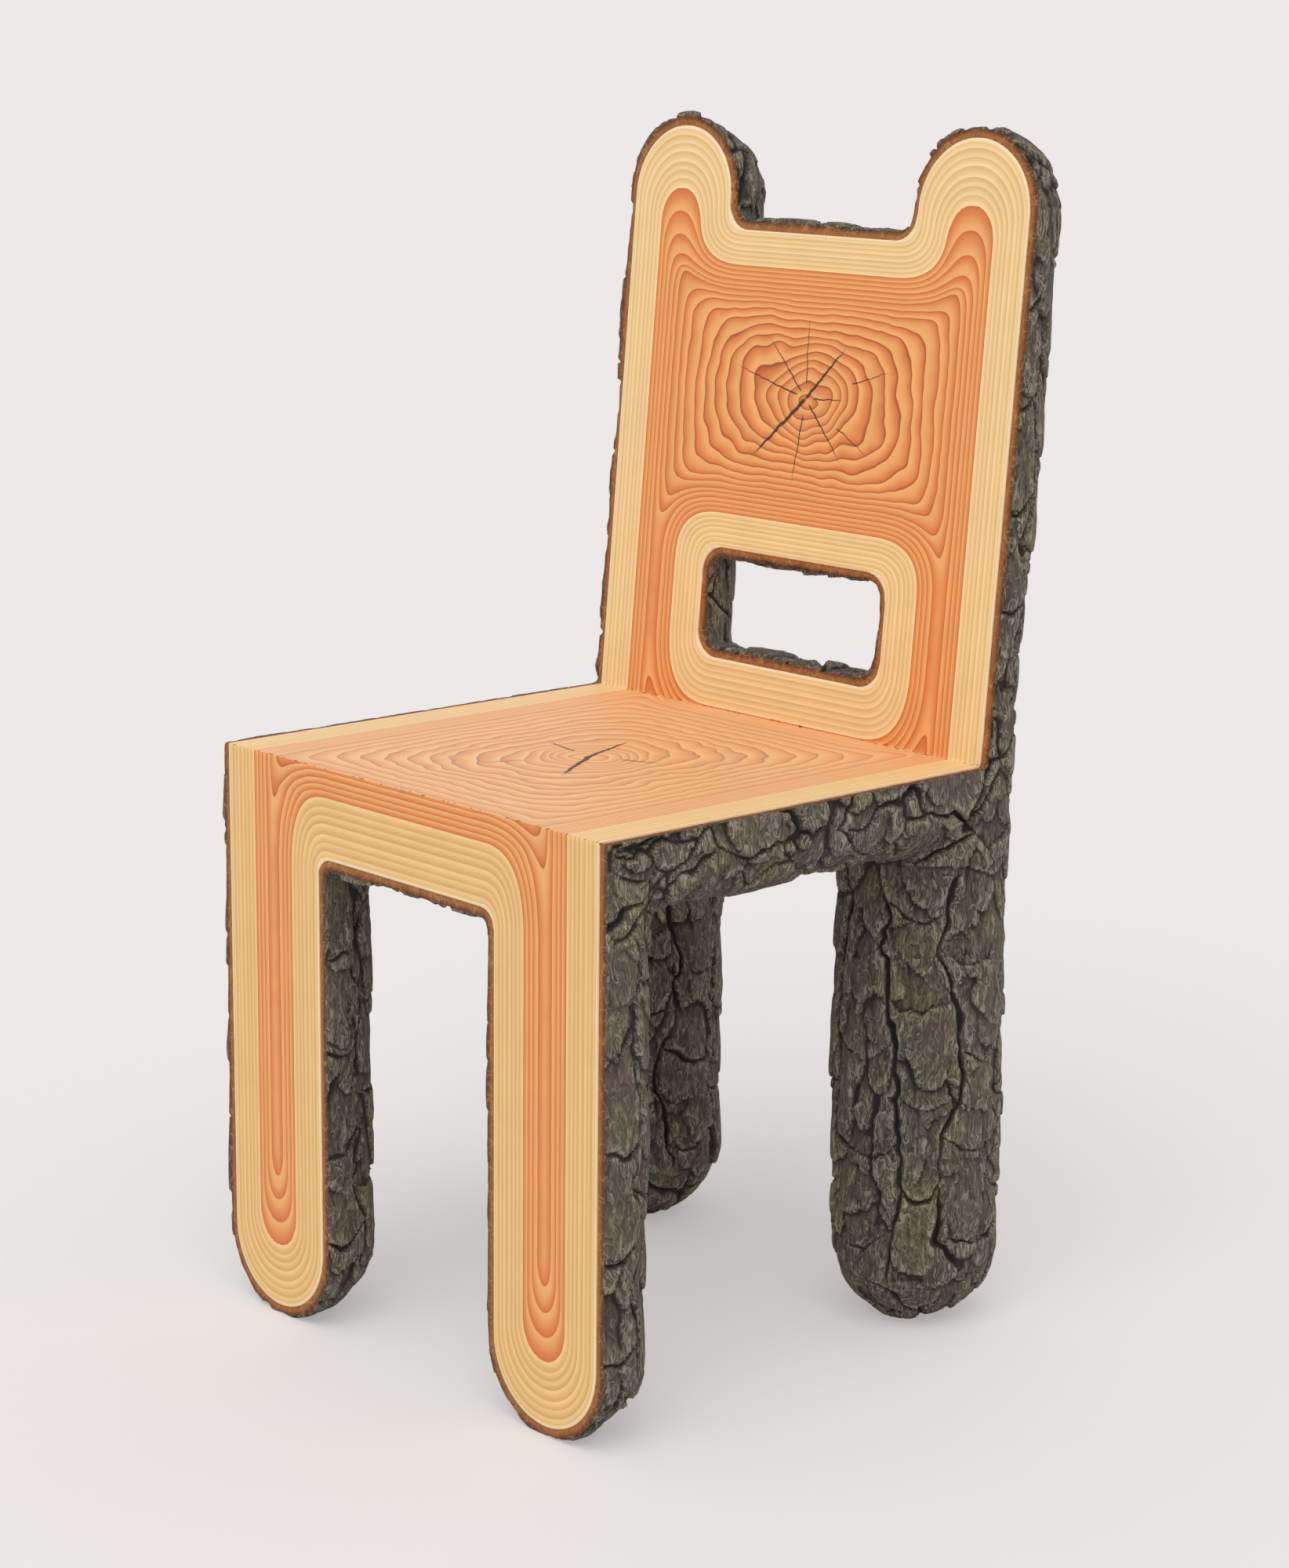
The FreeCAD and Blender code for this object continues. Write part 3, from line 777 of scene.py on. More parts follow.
# %% Smoothing and normals of the skin
SMOOTH_ROUNDS, JOINT_ROUNDS = 10, 60
HALF_WAY = 0.5
LEAST_LENGTH = 1e-9
JOINT_FOOT, JOINT_HEAD = (300, 350), (415, 435)
BEHIND_FRONT = (2, 12)
edges = np.vstack([squares[:, [k, (k + 1) % 4]] for k in range(4)])
neighbours = np.bincount(edges[:, 0], minlength=len(skin))


def neighbour_mean(points):
    """The mean place of each vertex's neighbours."""
    sums = [np.bincount(edges[:, 0], points[edges[:, 1], axis], minlength=len(points)) for axis in range(3)]
    return np.stack(sums, axis=1) / np.maximum(neighbours, 1)[:, None]


def skin_normals(points):
    """The outward direction at each vertex, from the squares round it."""
    across = points[squares[:, 2]] - points[squares[:, 0]]
    along = points[squares[:, 3]] - points[squares[:, 1]]
    facing = np.cross(across, along)
    total = np.zeros_like(points)
    for corner in range(4):
        for axis in range(3):
            total[:, axis] += np.bincount(squares[:, corner], facing[:, axis], minlength=len(points))
    return total / np.maximum(np.linalg.norm(total, axis=1), LEAST_LENGTH)[:, None]


def back_place(points):
    """Rise up the back's face and depth behind it."""
    y, z = points[:, 1] - BACK_Y, points[:, 2] - SEAT_Z
    return y * math.sin(RAKE) + z * math.cos(RAKE), y * math.cos(RAKE) - z * math.sin(RAKE)


for _ in range(SMOOTH_ROUNDS):
    skin = HALF_WAY * skin + HALF_WAY * neighbour_mean(skin)
joint = smooth_step(*JOINT_FOOT, skin[:, 2]) * (1 - smooth_step(*JOINT_HEAD, skin[:, 2]))
joint *= smooth_step(*BEHIND_FRONT, skin[:, 1] - FRONT_Y)
for _ in range(JOINT_ROUNDS):
    skin += (HALF_WAY * joint)[:, None] * (neighbour_mean(skin) - skin)
normals = skin_normals(skin)
print("skin box", skin.min(axis=0).round(1), skin.max(axis=0).round(1))

# %% [markdown]
# ## Main splits
# Old pine bark tears into long wandering splits as the trunk grows. The solids already have the main ones
# on the legs and the posts: eight wandering lines round a log, joined by shorter ones that sag between
# them. The same rule is repeated here, with rounder sags, so that the dressed bark splits about where the
# solids do.

# %% Rule of the splits
SPLIT_COLUMNS = 8
SPLIT_SWAY = 11.0
SPLIT_SAG = 13.0
SWAY_TURNS = (2.1, 2.6, 0.7)
BARK_RADIUS = LOG_RADIUS + BARK


def split_angle(column, height):
    """Where an upright split runs at some height, which is in rows: bends joined by straight lines."""
    number = column % SPLIT_COLUMNS
    row = np.floor(height)
    by_column, by_row, by_both = SWAY_TURNS
    low, high = (np.sin(by_column * number + by_row * r + by_both * number * r) for r in (row, row + 1))
    sway = low + (high - low) * (height - row)
    return (column + 0.5) * math.tau / SPLIT_COLUMNS + SPLIT_SWAY / BARK_RADIUS * sway


def log_splits(angle, height, rows, row_height):
    """Distances to the nearest upright and the nearest sagging split of a log, and the plate's column
    and row."""
    column = np.floor(angle * SPLIT_COLUMNS / math.tau - 0.5)
    column = np.where(angle < split_angle(column, height), column - 1, column)
    column = np.where(angle >= split_angle(column + 1, height), column + 1, column)
    start, end = split_angle(column, height), split_angle(column + 1, height)
    upright = np.minimum(angle - start, end - angle) * BARK_RADIUS
    across = (angle - start) / np.maximum(end - start, TINY)
    lifted = height + SPLIT_SAG / row_height * (1 - (2 * across - 1) ** 2)
    row = 2 * np.round((lifted - column % 2) / 2) + column % 2
    sagging = np.where((row > 0) & (row < rows), np.abs(lifted - row) * row_height, FAR)
    return upright, sagging, column % SPLIT_COLUMNS, np.floor((lifted - column % 2) / 2)


print("upright splits about", round(math.tau * BARK_RADIUS / SPLIT_COLUMNS), "mm apart")

# %% [markdown]
# The rule is drawn on three kinds of log: front legs, rear legs and posts. Noise pushes the skin about
# before the splits are looked up, so that straight runs wander, and a second noise closes a split for
# part of its way. A push is a lump size, an amount and a seed.

# %% Splits on legs and posts
LEG_SPLITS = (45.5, 386.0, 9)
POST_SPLITS = (20.5, 428.0, 11)
BROAD_PUSH, SMALL_PUSH = (26, 6.0, 21), (9, 2.6, 31)
OPEN_LUMPS, OPEN_FADE = (34, 34, 46), (-0.4, 0.35)
UPRIGHT_CLOSING = 2.2
SAG_CLOSING, SAG_GIVES_WAY = 1.1, 1.6
FADE_IN, FADE_OUT = (-14, 16), (-24, 6)
LOG_MARGIN = 9
POST_DIP, POST_AHEAD = 10, 8
INNER_SIDE_FADE = (50, 62)
LEFT_NUMBER = 16


def pushed(points, lump, amount, seed):
    """Points pushed about by smooth noise, so that lines through them wander."""
    return points + amount * np.column_stack([smooth_noise(points / lump, seed + k) for k in range(3)])


shifted = pushed(pushed(skin, *BROAD_PUSH), *SMALL_PUSH)
x, y, z = shifted.T
aside = np.where(x < 0, x + LEG_X, x - LEG_X)
rise, behind = back_place(shifted)
split_border = np.full(len(skin), FAR)
split_lot = np.zeros(len(skin))
split_share = np.zeros(len(skin))
split_open = smooth_step(*OPEN_FADE, smooth_noise(skin / OPEN_LUMPS, seed=25))
on_post = (skin[:, 2] > SEAT_Z - POST_DIP) & (behind > -POST_AHEAD)
inner_side = smooth_step(*INNER_SIDE_FADE, LEG_X - np.abs(x))
for number, (here, depth, height, (low, high, rows), share) in enumerate(
    (
        (~on_post & (y < 0), y - FRONT_Y - PLATE, z, LEG_SPLITS, 1.0),
        (~on_post & (y >= 0), y - BACK_Y, z, LEG_SPLITS, 1.0),
        (on_post, behind, rise, POST_SPLITS, 1 - inner_side),
    )
):
    row_height = (high - low) / rows
    angle = np.arctan2(depth, aside) % math.tau
    upright, sagging, column, row = log_splits(angle, (height - low) / row_height, rows, row_height)
    border = np.minimum(
        upright + UPRIGHT_CLOSING * (1 - split_open), sagging + SAG_CLOSING + SAG_GIVES_WAY * split_open
    )
    begun = smooth_step(low + FADE_IN[0], low + FADE_IN[1], height)
    ended = smooth_step(high + FADE_OUT[0], high + FADE_OUT[1], height)
    near = begun * (1 - ended) * share * (np.hypot(aside, depth) < BARK_RADIUS + LOG_MARGIN)
    cell = np.column_stack([column + LEFT_NUMBER * (skin[:, 0] < 0), row, np.full(len(skin), float(number))])
    split_border = np.where(here, border, split_border)
    split_lot = np.where(here, scramble(cell, seed=45), split_lot)
    split_share = np.where(here, near, split_share)
print("split share", split_share.mean().round(3))

# %% [markdown]
# ## Plates between the splits
# Everywhere else, on the rails, the panel and the round ends, the bark breaks into squarer plates. Cells
# of a jittered grid give them: the distance to the border with the next cell is the split.

# %% Plate cells
PLATE_ACROSS = 38.0
PLATE_TALL = 58.0
PLATE_SQUARE = 34.0
RAIL_HEIGHTS = (350, 395, 445, 490)
CELL_SHRINK = (0.7, 0.7, 0.85)
CELL_PUSH = (30, 8, 35)
CELL_CLOSING, CELL_LUMP, CELL_FADE = 1.9, 30, (-0.3, 0.4)
JITTER = 0.92
LOT_STEP = 7.31


def near_cells(points, seed):
    """The 27 cells round each point, each with three fractions and its jittered middle."""
    base = np.floor(points)
    for offset in np.ndindex(3, 3, 3):
        cell = base + offset - 1
        spot = np.column_stack([scramble(cell, seed + k) for k in range(3)])
        yield cell, spot, cell + 0.5 + JITTER * (spot - 0.5)


def plate_cells(points, seed):
    """Distance to the nearest cell border in cells, and a fraction for each cell."""
    first = np.full(len(points), np.inf)
    second = np.full(len(points), np.inf)
    first_middle = np.zeros_like(points)
    second_middle = np.zeros_like(points)
    lot = np.zeros(len(points))
    for _, spot, middle in near_cells(points, seed):
        away = ((points - middle) ** 2).sum(axis=1)
        nearer = away < first
        next_near = ~nearer & (away < second)
        second = np.where(nearer, first, np.where(next_near, away, second))
        follower = np.where(next_near[:, None], middle, second_middle)
        second_middle = np.where(nearer[:, None], first_middle, follower)
        first = np.where(nearer, away, first)
        first_middle = np.where(nearer[:, None], middle, first_middle)
        lot = np.where(nearer, spot[:, 0] * LOT_STEP % 1, lot)
    gap = np.linalg.norm(second_middle - first_middle, axis=1)
    return (second - first) / (2 * np.maximum(gap, TINY)), lot


heights = np.arange(-20.0, 1000.0, 1.0)
tallness = np.interp(heights, RAIL_HEIGHTS, [PLATE_TALL, PLATE_SQUARE, PLATE_SQUARE, PLATE_TALL])
upright_count = np.cumsum(1 / tallness)


def plate_space(points):
    """Points in plate units: one unit is about one plate."""
    upright = np.interp(points[:, 2], heights, upright_count)
    return np.column_stack([points[:, 0] / PLATE_ACROSS, points[:, 1] / PLATE_ACROSS, upright])


cell_border, cell_lot = plate_cells(plate_space(pushed(shifted, *CELL_PUSH)) * CELL_SHRINK, seed=41)
cell_border = cell_border * PLATE_ACROSS / CELL_SHRINK[0]
cell_border += CELL_CLOSING * (1 - smooth_step(*CELL_FADE, smooth_noise(skin / CELL_LUMP, seed=27)))
plate_lot = np.where(split_share > 0.5, split_lot, cell_lot)
print("plates", len(np.unique(plate_lot)))

# %% [markdown]
# ## Scales
# Each plate sheds thin scales that overlap like shingles, with rounded ends that curl away at the bottom.
# One scale is laid in each cell of two more grids, a coarse one and a fine one, and the topmost scale
# wins.

# %% Overlapping scales
SCALE_ROUNDNESS = 2.6
SCALE_SIZE, SIZE_SPREAD = 0.5, 0.35
SCALE_LIFT, LIFT_SPREAD = 0.15, 0.75
CURL = 0.75
EDGE_DROP = 0.3
COARSE_PUSH, COARSE_PER_PLATE = (17, 6.0, 51), (1.15, 1.15, 0.74)
FINE_PUSH, FINE_PER_PLATE = (11, 4.5, 55), (1.9, 1.9, 1.15)


def scale_layer(points, seed):
    """Height of the topmost scale over each point, below 0 where there is none, and a fraction for each
    scale."""
    top = np.full(len(points), -1.0)
    lot = np.zeros(len(points))
    for cell, _, middle in near_cells(points, seed):
        number = scramble(cell, seed + 3)
        arm = points - middle
        reach = (np.abs(arm) ** SCALE_ROUNDNESS).sum(axis=1) ** (1 / SCALE_ROUNDNESS)
        reach = reach / (SCALE_SIZE + SIZE_SPREAD * number)
        lift = SCALE_LIFT + LIFT_SPREAD * scramble(cell, seed + 4)
        height = lift - CURL * arm[:, 2] - EDGE_DROP * reach**4
        wins = (reach < 1) & (height > top)
        top = np.where(wins, height, top)
        lot = np.where(wins, number, lot)
    return top, lot


coarse_top, coarse_lot = scale_layer(plate_space(pushed(skin, *COARSE_PUSH)) * COARSE_PER_PLATE, seed=61)
fine_top, fine_lot = scale_layer(plate_space(pushed(skin, *FINE_PUSH)) * FINE_PER_PLATE, seed=65)
scale_lot = np.where(fine_top > coarse_top, fine_lot, coarse_lot)
print("scales cover", round(float((np.maximum(coarse_top, fine_top) > 0).mean()), 2))

# %% [markdown]
# ## Relief of the bark
# Scales, steps between plates and small grit are added up into one height for every point of the skin,
# and near a split that height is capped. Comparing it with its own blurred copies finds the hollows,
# which the material darkens as painted shade, and the ridges, which it paints paler, partly as wear and
# partly as painted highlight.

# %% Relief, hollows and ridges
SPLIT_DEPTH = 4.4
SPLIT_SLOPE = 1.6
SPLIT_HALF_WIDTH = 0.6
SCALE_FLOOR = -3.6
COARSE_THICK, FINE_THICK = 6.3, 5.2
PLATE_STEP = 2.2
GRIT_HEIGHT, GRIT_PER_PLATE = 0.45, (14, 14, 6)
UNCAPPED = 9
CRACK_SHADE_FADE = (0.2, 2.8)
HOLLOW_BLURS = ((3, 0.8), (40, 2.6))

coarse, fine = COARSE_THICK * np.maximum(coarse_top, 0), FINE_THICK * np.maximum(fine_top, 0)
body = SCALE_FLOOR + np.maximum(coarse, fine)
body += PLATE_STEP * (plate_lot - 0.5)
body += GRIT_HEIGHT * smooth_noise(plate_space(skin) * GRIT_PER_PLATE, seed=72)


def split_cap(border):
    """How high the bark may stand near a split."""
    return -SPLIT_DEPTH + SPLIT_SLOPE * np.maximum(border - SPLIT_HALF_WIDTH, 0)


def blurred(values, rounds):
    """Values mixed half and half with their neighbours' mean, again and again."""
    for _ in range(rounds):
        sums = np.bincount(edges[:, 0], values[edges[:, 1]], minlength=len(values))
        values = HALF_WAY * values + HALF_WAY * sums / neighbours
    return values


cap = np.minimum(
    split_cap(split_border) + UNCAPPED * (1 - split_share), split_cap(cell_border) + UNCAPPED * split_share
)
relief = np.minimum(body, cap)
# crack_shade says how deep in a split a point lies; the material darkens it there as painted shade.
crack_from, crack_to = (-SPLIT_DEPTH + above for above in CRACK_SHADE_FADE)
crack_shade = 1 - smooth_step(crack_from, crack_to, np.minimum(cap, UNCAPPED))
# hollow is positive in the hollows, where the bark material paints shade, and negative on ridges, where it
# paints paler colour that is partly wear and partly highlight.
hollow = np.clip(sum((blurred(relief, rounds) - relief) / size for rounds, size in HOLLOW_BLURS), -1, 1)
print("relief", relief.min().round(2), relief.max().round(2), "hollow", hollow.std().round(2))

# %% [markdown]
# ## The cut rim
# Where the log was sawn, the bark shows its own cut edge: a brown band round each face, with a dark
# ragged outside. On the skin that band lies in the plane of the face. It is kept just below the plate,
# and the part of the skin that the plate covers is taken away. Nothing goes below the floor, so the feet
# stand flat.

# %% Which part of the skin is rim
TUCKED = 2.6
RIM_FADE = 3.2
RIM_FLUSH = -0.6
RIM_FACING, LEAST_FACING = (0.3, 0.75), 0.2
COVERED_DROP, COVERED_FACING = 1.5, 0.5
FACE_SPILL, JOIN_GAP = 3, 1
FACE_NORMALS = ((0, -1, 0), (0, 0, 1), (0, -math.cos(RAKE), math.sin(RAKE)))


def face_places(points):
    """For each flat face: how far points stand out of its plane, how far outside the wood they lie, and
    whether they belong to it at all."""
    x, y, z = points.T
    rise, behind = back_place(points)
    front = (FRONT_Y - y, outside_front(x, z - WOOD_FOOT_Z), z < SEAT_Z + FACE_SPILL)
    seat = (z - SEAT_Z, outside_seat(x, y), (behind < -JOIN_GAP) & (y > FRONT_Y - FACE_SPILL))
    back = (-behind, outside_back(x, rise), rise > JOIN_GAP)
    return front, seat, back


on_rim = np.zeros(len(skin))
rim_reach = np.full(len(skin), FAR)
covered = np.zeros(len(skin), bool)
for (proud, outside, belongs), facing in zip(face_places(skin), FACE_NORMALS):
    toward = normals @ np.array(facing)
    here = belongs & (proud > -RIM_FADE) & (toward > LEAST_FACING)
    share = smooth_step(-RIM_FADE, RIM_FLUSH, proud) * smooth_step(*RIM_FACING, toward)
    on_rim = np.maximum(on_rim, np.where(here, share, 0))
    rim_reach = np.where(here, np.minimum(rim_reach, outside), rim_reach)
    covered |= belongs & (proud > -COVERED_DROP) & (outside < -TUCKED) & (toward > COVERED_FACING)
print("rim vertices", int((on_rim > 0.5).sum()), "covered", int(covered.sum()))

# %% The displaced skin, pressed under the plates
RIM_DROP = 0.25
RIM_UNEVEN, RIM_LUMP = 0.5, 5.0
PLATE_LAP, LAP_DROP = 0.4, 0.9
NEAR_FACE = 6
RIM_CALM = 0.85

moved = skin + normals * (relief * (1 - RIM_CALM * on_rim))[:, None]
uneven = RIM_DROP + RIM_UNEVEN * np.abs(smooth_noise(skin / RIM_LUMP, seed=81))
for (proud, outside, belongs), facing in zip(face_places(moved), FACE_NORMALS):
    near = belongs & (np.abs(proud) < NEAR_FACE)
    level = np.where(outside < PLATE_LAP, RIM_DROP + LAP_DROP, uneven)
    over = np.where(near, np.maximum(proud + level, 0), 0)
    moved -= over[:, None] * np.array(facing)
moved[:, 2] = np.maximum(moved[:, 2], 0)
print("displaced box", moved.min(axis=0).round(1), moved.max(axis=0).round(1))

# %% [markdown]
# ## Cutting the skin into pieces
# Each piece stands for one bark solid of the frame, so the skin is cut where those solids meet. Every
# piece is a closed shell: an inner wall a few millimetres in, and a narrow strip that joins the two. The
# shading directions come from the uncut skin, so no seam shows.

# %% Which solid each square belongs to
SKIN_EDGE = 14.0
SEAT_LAP, BACK_LAP, SEAM = 6, 2, 0.1
rail_low = node_box("side_rail_bark_left")[0][2]
front_span = node_box("front_rail_bark")[1][1]
rear_span = node_box("rear_seat_rail_bark")[0][1]
rail_inner = node_box("side_rail_bark_right")[0][0]
kept = squares[~covered[squares].all(axis=1)]
middle = skin[kept].mean(axis=1)
x, y, z = middle.T
side = np.where(x < 0, "left", "right")
rise, behind = back_place(middle)
on_back_part = (z > SEAT_Z - SEAT_LAP) & (behind > -RIM_FADE - BACK_LAP)
by_leg = np.abs(np.abs(x) - LEG_X) < LOG_RADIUS + SKIN_EDGE
front_leg = by_leg & (z < rail_low) & (y < front_span)
rear_leg = by_leg & (z < rail_low) & (np.abs(y - BACK_Y) < LOG_RADIUS + SKIN_EDGE)
belongs_to = np.full(len(kept), "seat_underside_bark", dtype=object)
belongs_to[y < front_span] = "front_rail_bark"
belongs_to[y > rear_span] = "rear_seat_rail_bark"
for name in ("left", "right"):
    here = side == name
    belongs_to[here & (np.abs(x) > rail_inner)] = "side_rail_bark_" + name
    belongs_to[here & front_leg] = "front_leg_bark_" + name
    belongs_to[here & rear_leg] = "rear_leg_bark_" + name
    belongs_to[here & on_back_part] = "back_post_bark_" + name
between = on_back_part & (np.abs(x) < HALF_GAP - BARK - SEAM)
window_middle = (WINDOW_LOW + WINDOW_HIGH) / 2
belongs_to[between & (rise > window_middle)] = "back_panel_bark"
belongs_to[between & (rise <= window_middle)] = "lower_back_rail_bark"
print({name: int((belongs_to == name).sum()) for name in sorted(set(belongs_to))})

# %% Bark pieces
SHELL = 5.0
REACH_KEPT = 60
bark_normals = skin_normals(moved)
bark_pieces = []


def bark_piece(solid_name, faces):
    """A closed shell of bark over the given squares."""
    used, corners = np.unique(faces, return_inverse=True)
    faces = corners.reshape(-1, 4)
    count = len(used)
    outer = moved[used]
    inner = skin[used] - normals[used] * SHELL
    pairs = np.vstack([faces[:, [k, (k + 1) % 4]] for k in range(4)])
    keys = pairs[:, 0].astype(np.int64) * count + pairs[:, 1]
    turned = pairs[:, 1].astype(np.int64) * count + pairs[:, 0]
    free = pairs[~np.isin(keys, turned)]
    strip = np.column_stack([free[:, 1], free[:, 0], free[:, 0] + count, free[:, 1] + count])
    walls = [faces, faces[:, ::-1] + count, strip]
    made = new_mesh(solid_name + "_plates", np.vstack([outer, inner]), walls)
    made.data.shade_smooth()
    facing = np.vstack([bark_normals[used], -normals[used]])
    made.data.normals_split_custom_set_from_vertices(facing.tolist())
    for name, values in (
        ("crack_shade", crack_shade),
        ("hollow", hollow),
        ("plate_lot", plate_lot),
        ("scale_lot", scale_lot),
        ("cut_rim", on_rim),
        ("rim_reach", np.minimum(rim_reach, REACH_KEPT)),
    ):
        store(made, name, np.tile(values[used], 2))
    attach(made, "root")
    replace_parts(made, solid_name)
    bark_pieces.append(made)


for solid_name in sorted(set(belongs_to)):
    bark_piece(solid_name, kept[belongs_to == solid_name])
print("bark pieces", len(bark_pieces), "faces", sum(len(p.data.polygons) for p in bark_pieces))

# %% [markdown]
# ## Helpers for materials
# Node trees are long to write by hand. Small helpers place a node, do a sum, make a ramp or mix two
# colours, so that each material below reads like a recipe.

# %% Node helpers


def paint(red, green, blue):
    """A colour as it is seen on a screen, turned into the linear numbers that Blender works in."""
    shares = [v / 255 for v in (red, green, blue)]
    return tuple(v / 12.92 if v <= 0.04045 else ((v + 0.055) / 1.055) ** 2.4 for v in shares) + (1.0,)


def node(tree, kind, links=None, **settings):
    """A node with its settings, its links and its plain values."""
    made = tree.nodes.new(kind)
    for name, value in settings.items():
        setattr(made, name, value)
    for key, value in (links or {}).items():
        socket = made.inputs[key]
        if isinstance(value, bpy.types.NodeSocket):
            tree.links.new(value, socket)
        else:
            socket.default_value = value
    return made


def maths(tree, operation, *values, clamp=False):
    """A sum of one or two values."""
    made = node(tree, "ShaderNodeMath", dict(enumerate(values)), operation=operation, use_clamp=clamp)
    return made.outputs[0]


def times(tree, first, second):
    return maths(tree, "MULTIPLY", first, second)


def base_plus(tree, base, value, share):
    """A base with a share of some value on top."""
    return maths(tree, "ADD", base, times(tree, value, share))


def vector_maths(tree, operation, *values):
    """A sum with vectors, which gives a number for a length or a dot product."""
    made = node(tree, "ShaderNodeVectorMath", dict(enumerate(values)), operation=operation)
    return made.outputs[1 if operation in ("LENGTH", "DOT_PRODUCT") else 0]


def ramp(tree, value, low, high):
    """0 below low, 1 above high, smooth between."""
    links = {"Value": value, "From Min": low, "From Max": high}
    return node(tree, "ShaderNodeMapRange", links, interpolation_type="SMOOTHSTEP").outputs[0]


def mixed(tree, share, first, second, blend="MIX"):
    """The first colour where share is 0, the second where it is 1."""
    links = {0: share, 6: first, 7: second}
    return node(tree, "ShaderNodeMix", links, data_type="RGBA", blend_type=blend).outputs[2]


def noise(tree, place, scale, detail=2.0, roughness=0.5):
    links = {"Vector": place, "Scale": scale, "Detail": detail, "Roughness": roughness}
    return node(tree, "ShaderNodeTexNoise", links).outputs[0]


def attribute(tree, name, output="Fac"):
    return node(tree, "ShaderNodeAttribute", attribute_name=name).outputs[output]


def object_place(tree):
    return node(tree, "ShaderNodeTexCoord").outputs["Object"]


def new_group(name, inputs, outputs):
    """A shader node group with named sockets. Returns its tree, its inputs and its output node."""
    tree = bpy.data.node_groups.new(name, "ShaderNodeTree")
    for label, kind, value in inputs:
        socket = tree.interface.new_socket(name=label, in_out="INPUT", socket_type=kind)
        socket.default_value = value
    for label, kind in outputs:
        tree.interface.new_socket(name=label, in_out="OUTPUT", socket_type=kind)
    start = tree.nodes.new("NodeGroupInput")
    end = tree.nodes.new("NodeGroupOutput")
    return tree, start.outputs, end


def place_group(tree, name, links):
    return node(tree, "ShaderNodeGroup", links, node_tree=bpy.data.node_groups[name]).outputs


def new_material(name):
    """A material with its Principled shader."""
    made = bpy.data.materials.new(name)
    made.use_nodes = True
    return made, made.node_tree, made.node_tree.nodes["Principled BSDF"]


def dress_shader(tree, shader, colour, roughness, height=None, bump=(0.0, 0.0)):
    """Links colour and roughness to a shader and, where a height is given, a bump of some strength and
    distance."""
    tree.links.new(colour, shader.inputs["Base Color"])
    tree.links.new(roughness, shader.inputs["Roughness"])
    if height is not None:
        links = {"Height": height, "Strength": bump[0], "Distance": bump[1]}
        tree.links.new(node(tree, "ShaderNodeBump", links).outputs[0], shader.inputs["Normal"])


NUMBER, VECTOR = "NodeSocketFloat", "NodeSocketVector"
print("mid grey on a screen is", round(paint(128, 128, 128)[0], 3), "in Blender")

# %% [markdown]
# ## Fibres
# Bark, sawn wood and brushed steel all show fine streaks. One group makes them from noise that is
# stretched one way. It is placed in each material with its own stretch.

# %% Fibre streaks group
tree, given, end = new_group(
    "fibre_streaks",
    [("Place", VECTOR, (0, 0, 0)), ("Stretch", VECTOR, (200, 200, 30)), ("Softness", NUMBER, 0.25)],
    [("Streak", NUMBER)],
)
stretched = vector_maths(tree, "MULTIPLY", given["Place"], given["Stretch"])
grain = noise(tree, stretched, 1.0, detail=4.0, roughness=0.62)
low = maths(tree, "SUBTRACT", 0.5, given["Softness"])
high = maths(tree, "ADD", 0.5, given["Softness"])
tree.links.new(ramp(tree, grain, low, high), end.inputs["Streak"])
print("group", tree.name, len(tree.nodes), "nodes")


def fibre_streaks(tree, place, stretch, softness=0.25):
    """Places the group in a material."""
    links = {"Place": place, "Stretch": stretch, "Softness": softness}
    return place_group(tree, "fibre_streaks", links)["Streak"]


# %% [markdown]
# ## Growth rings
# A year's ring starts pale and darkens slowly outward, then stops at a sharp line where the next year
# begins. The group takes a count of rings: its fraction is the place inside one ring, and its whole
# number picks the ring.

# %% Growth rings group
SWAY_SCALE = 0.6
LATE_FADE, LINE_EDGE, SAP_EDGE = (0.05, 1.0), (0.8, 0.99), (-0.03, 0.03)
tree, given, end = new_group(
    "growth_rings",
    [("Count", NUMBER, 0.0), ("Sap Rings", NUMBER, 7.0), ("Uneven", NUMBER, 0.6)],
    [("Late Wood", NUMBER), ("Line", NUMBER), ("Sap", NUMBER), ("Ring Lot", NUMBER)],
)
along = node(tree, "ShaderNodeCombineXYZ", {0: times(tree, given["Count"], SWAY_SCALE)}).outputs[0]
sway = maths(tree, "SUBTRACT", noise(tree, along, 1.0, detail=1.0), 0.5)
count = maths(tree, "ADD", given["Count"], times(tree, sway, given["Uneven"]))
outward = maths(tree, "SUBTRACT", 1.0, maths(tree, "FRACT", count))
ring_number = maths(tree, "FLOOR", count)
ring_lot = node(tree, "ShaderNodeTexWhiteNoise", {"W": ring_number}, noise_dimensions="1D").outputs["Value"]
still_sap = maths(tree, "SUBTRACT", given["Sap Rings"], count)
tree.links.new(ramp(tree, outward, *LATE_FADE), end.inputs["Late Wood"])
tree.links.new(ramp(tree, outward, *LINE_EDGE), end.inputs["Line"])
tree.links.new(ramp(tree, still_sap, *SAP_EDGE), end.inputs["Sap"])
tree.links.new(ring_lot, end.inputs["Ring Lot"])
print("group", tree.name, len(tree.nodes), "nodes")

# %% [markdown]
# ## Drying checks
# A slice of a log opens into thin dark cracks that run out from the pith as it dries. Each crack is a
# straight line with a little wander, widest near its start. The group draws one crack on the sheet, and
# the face material places it once for every crack.

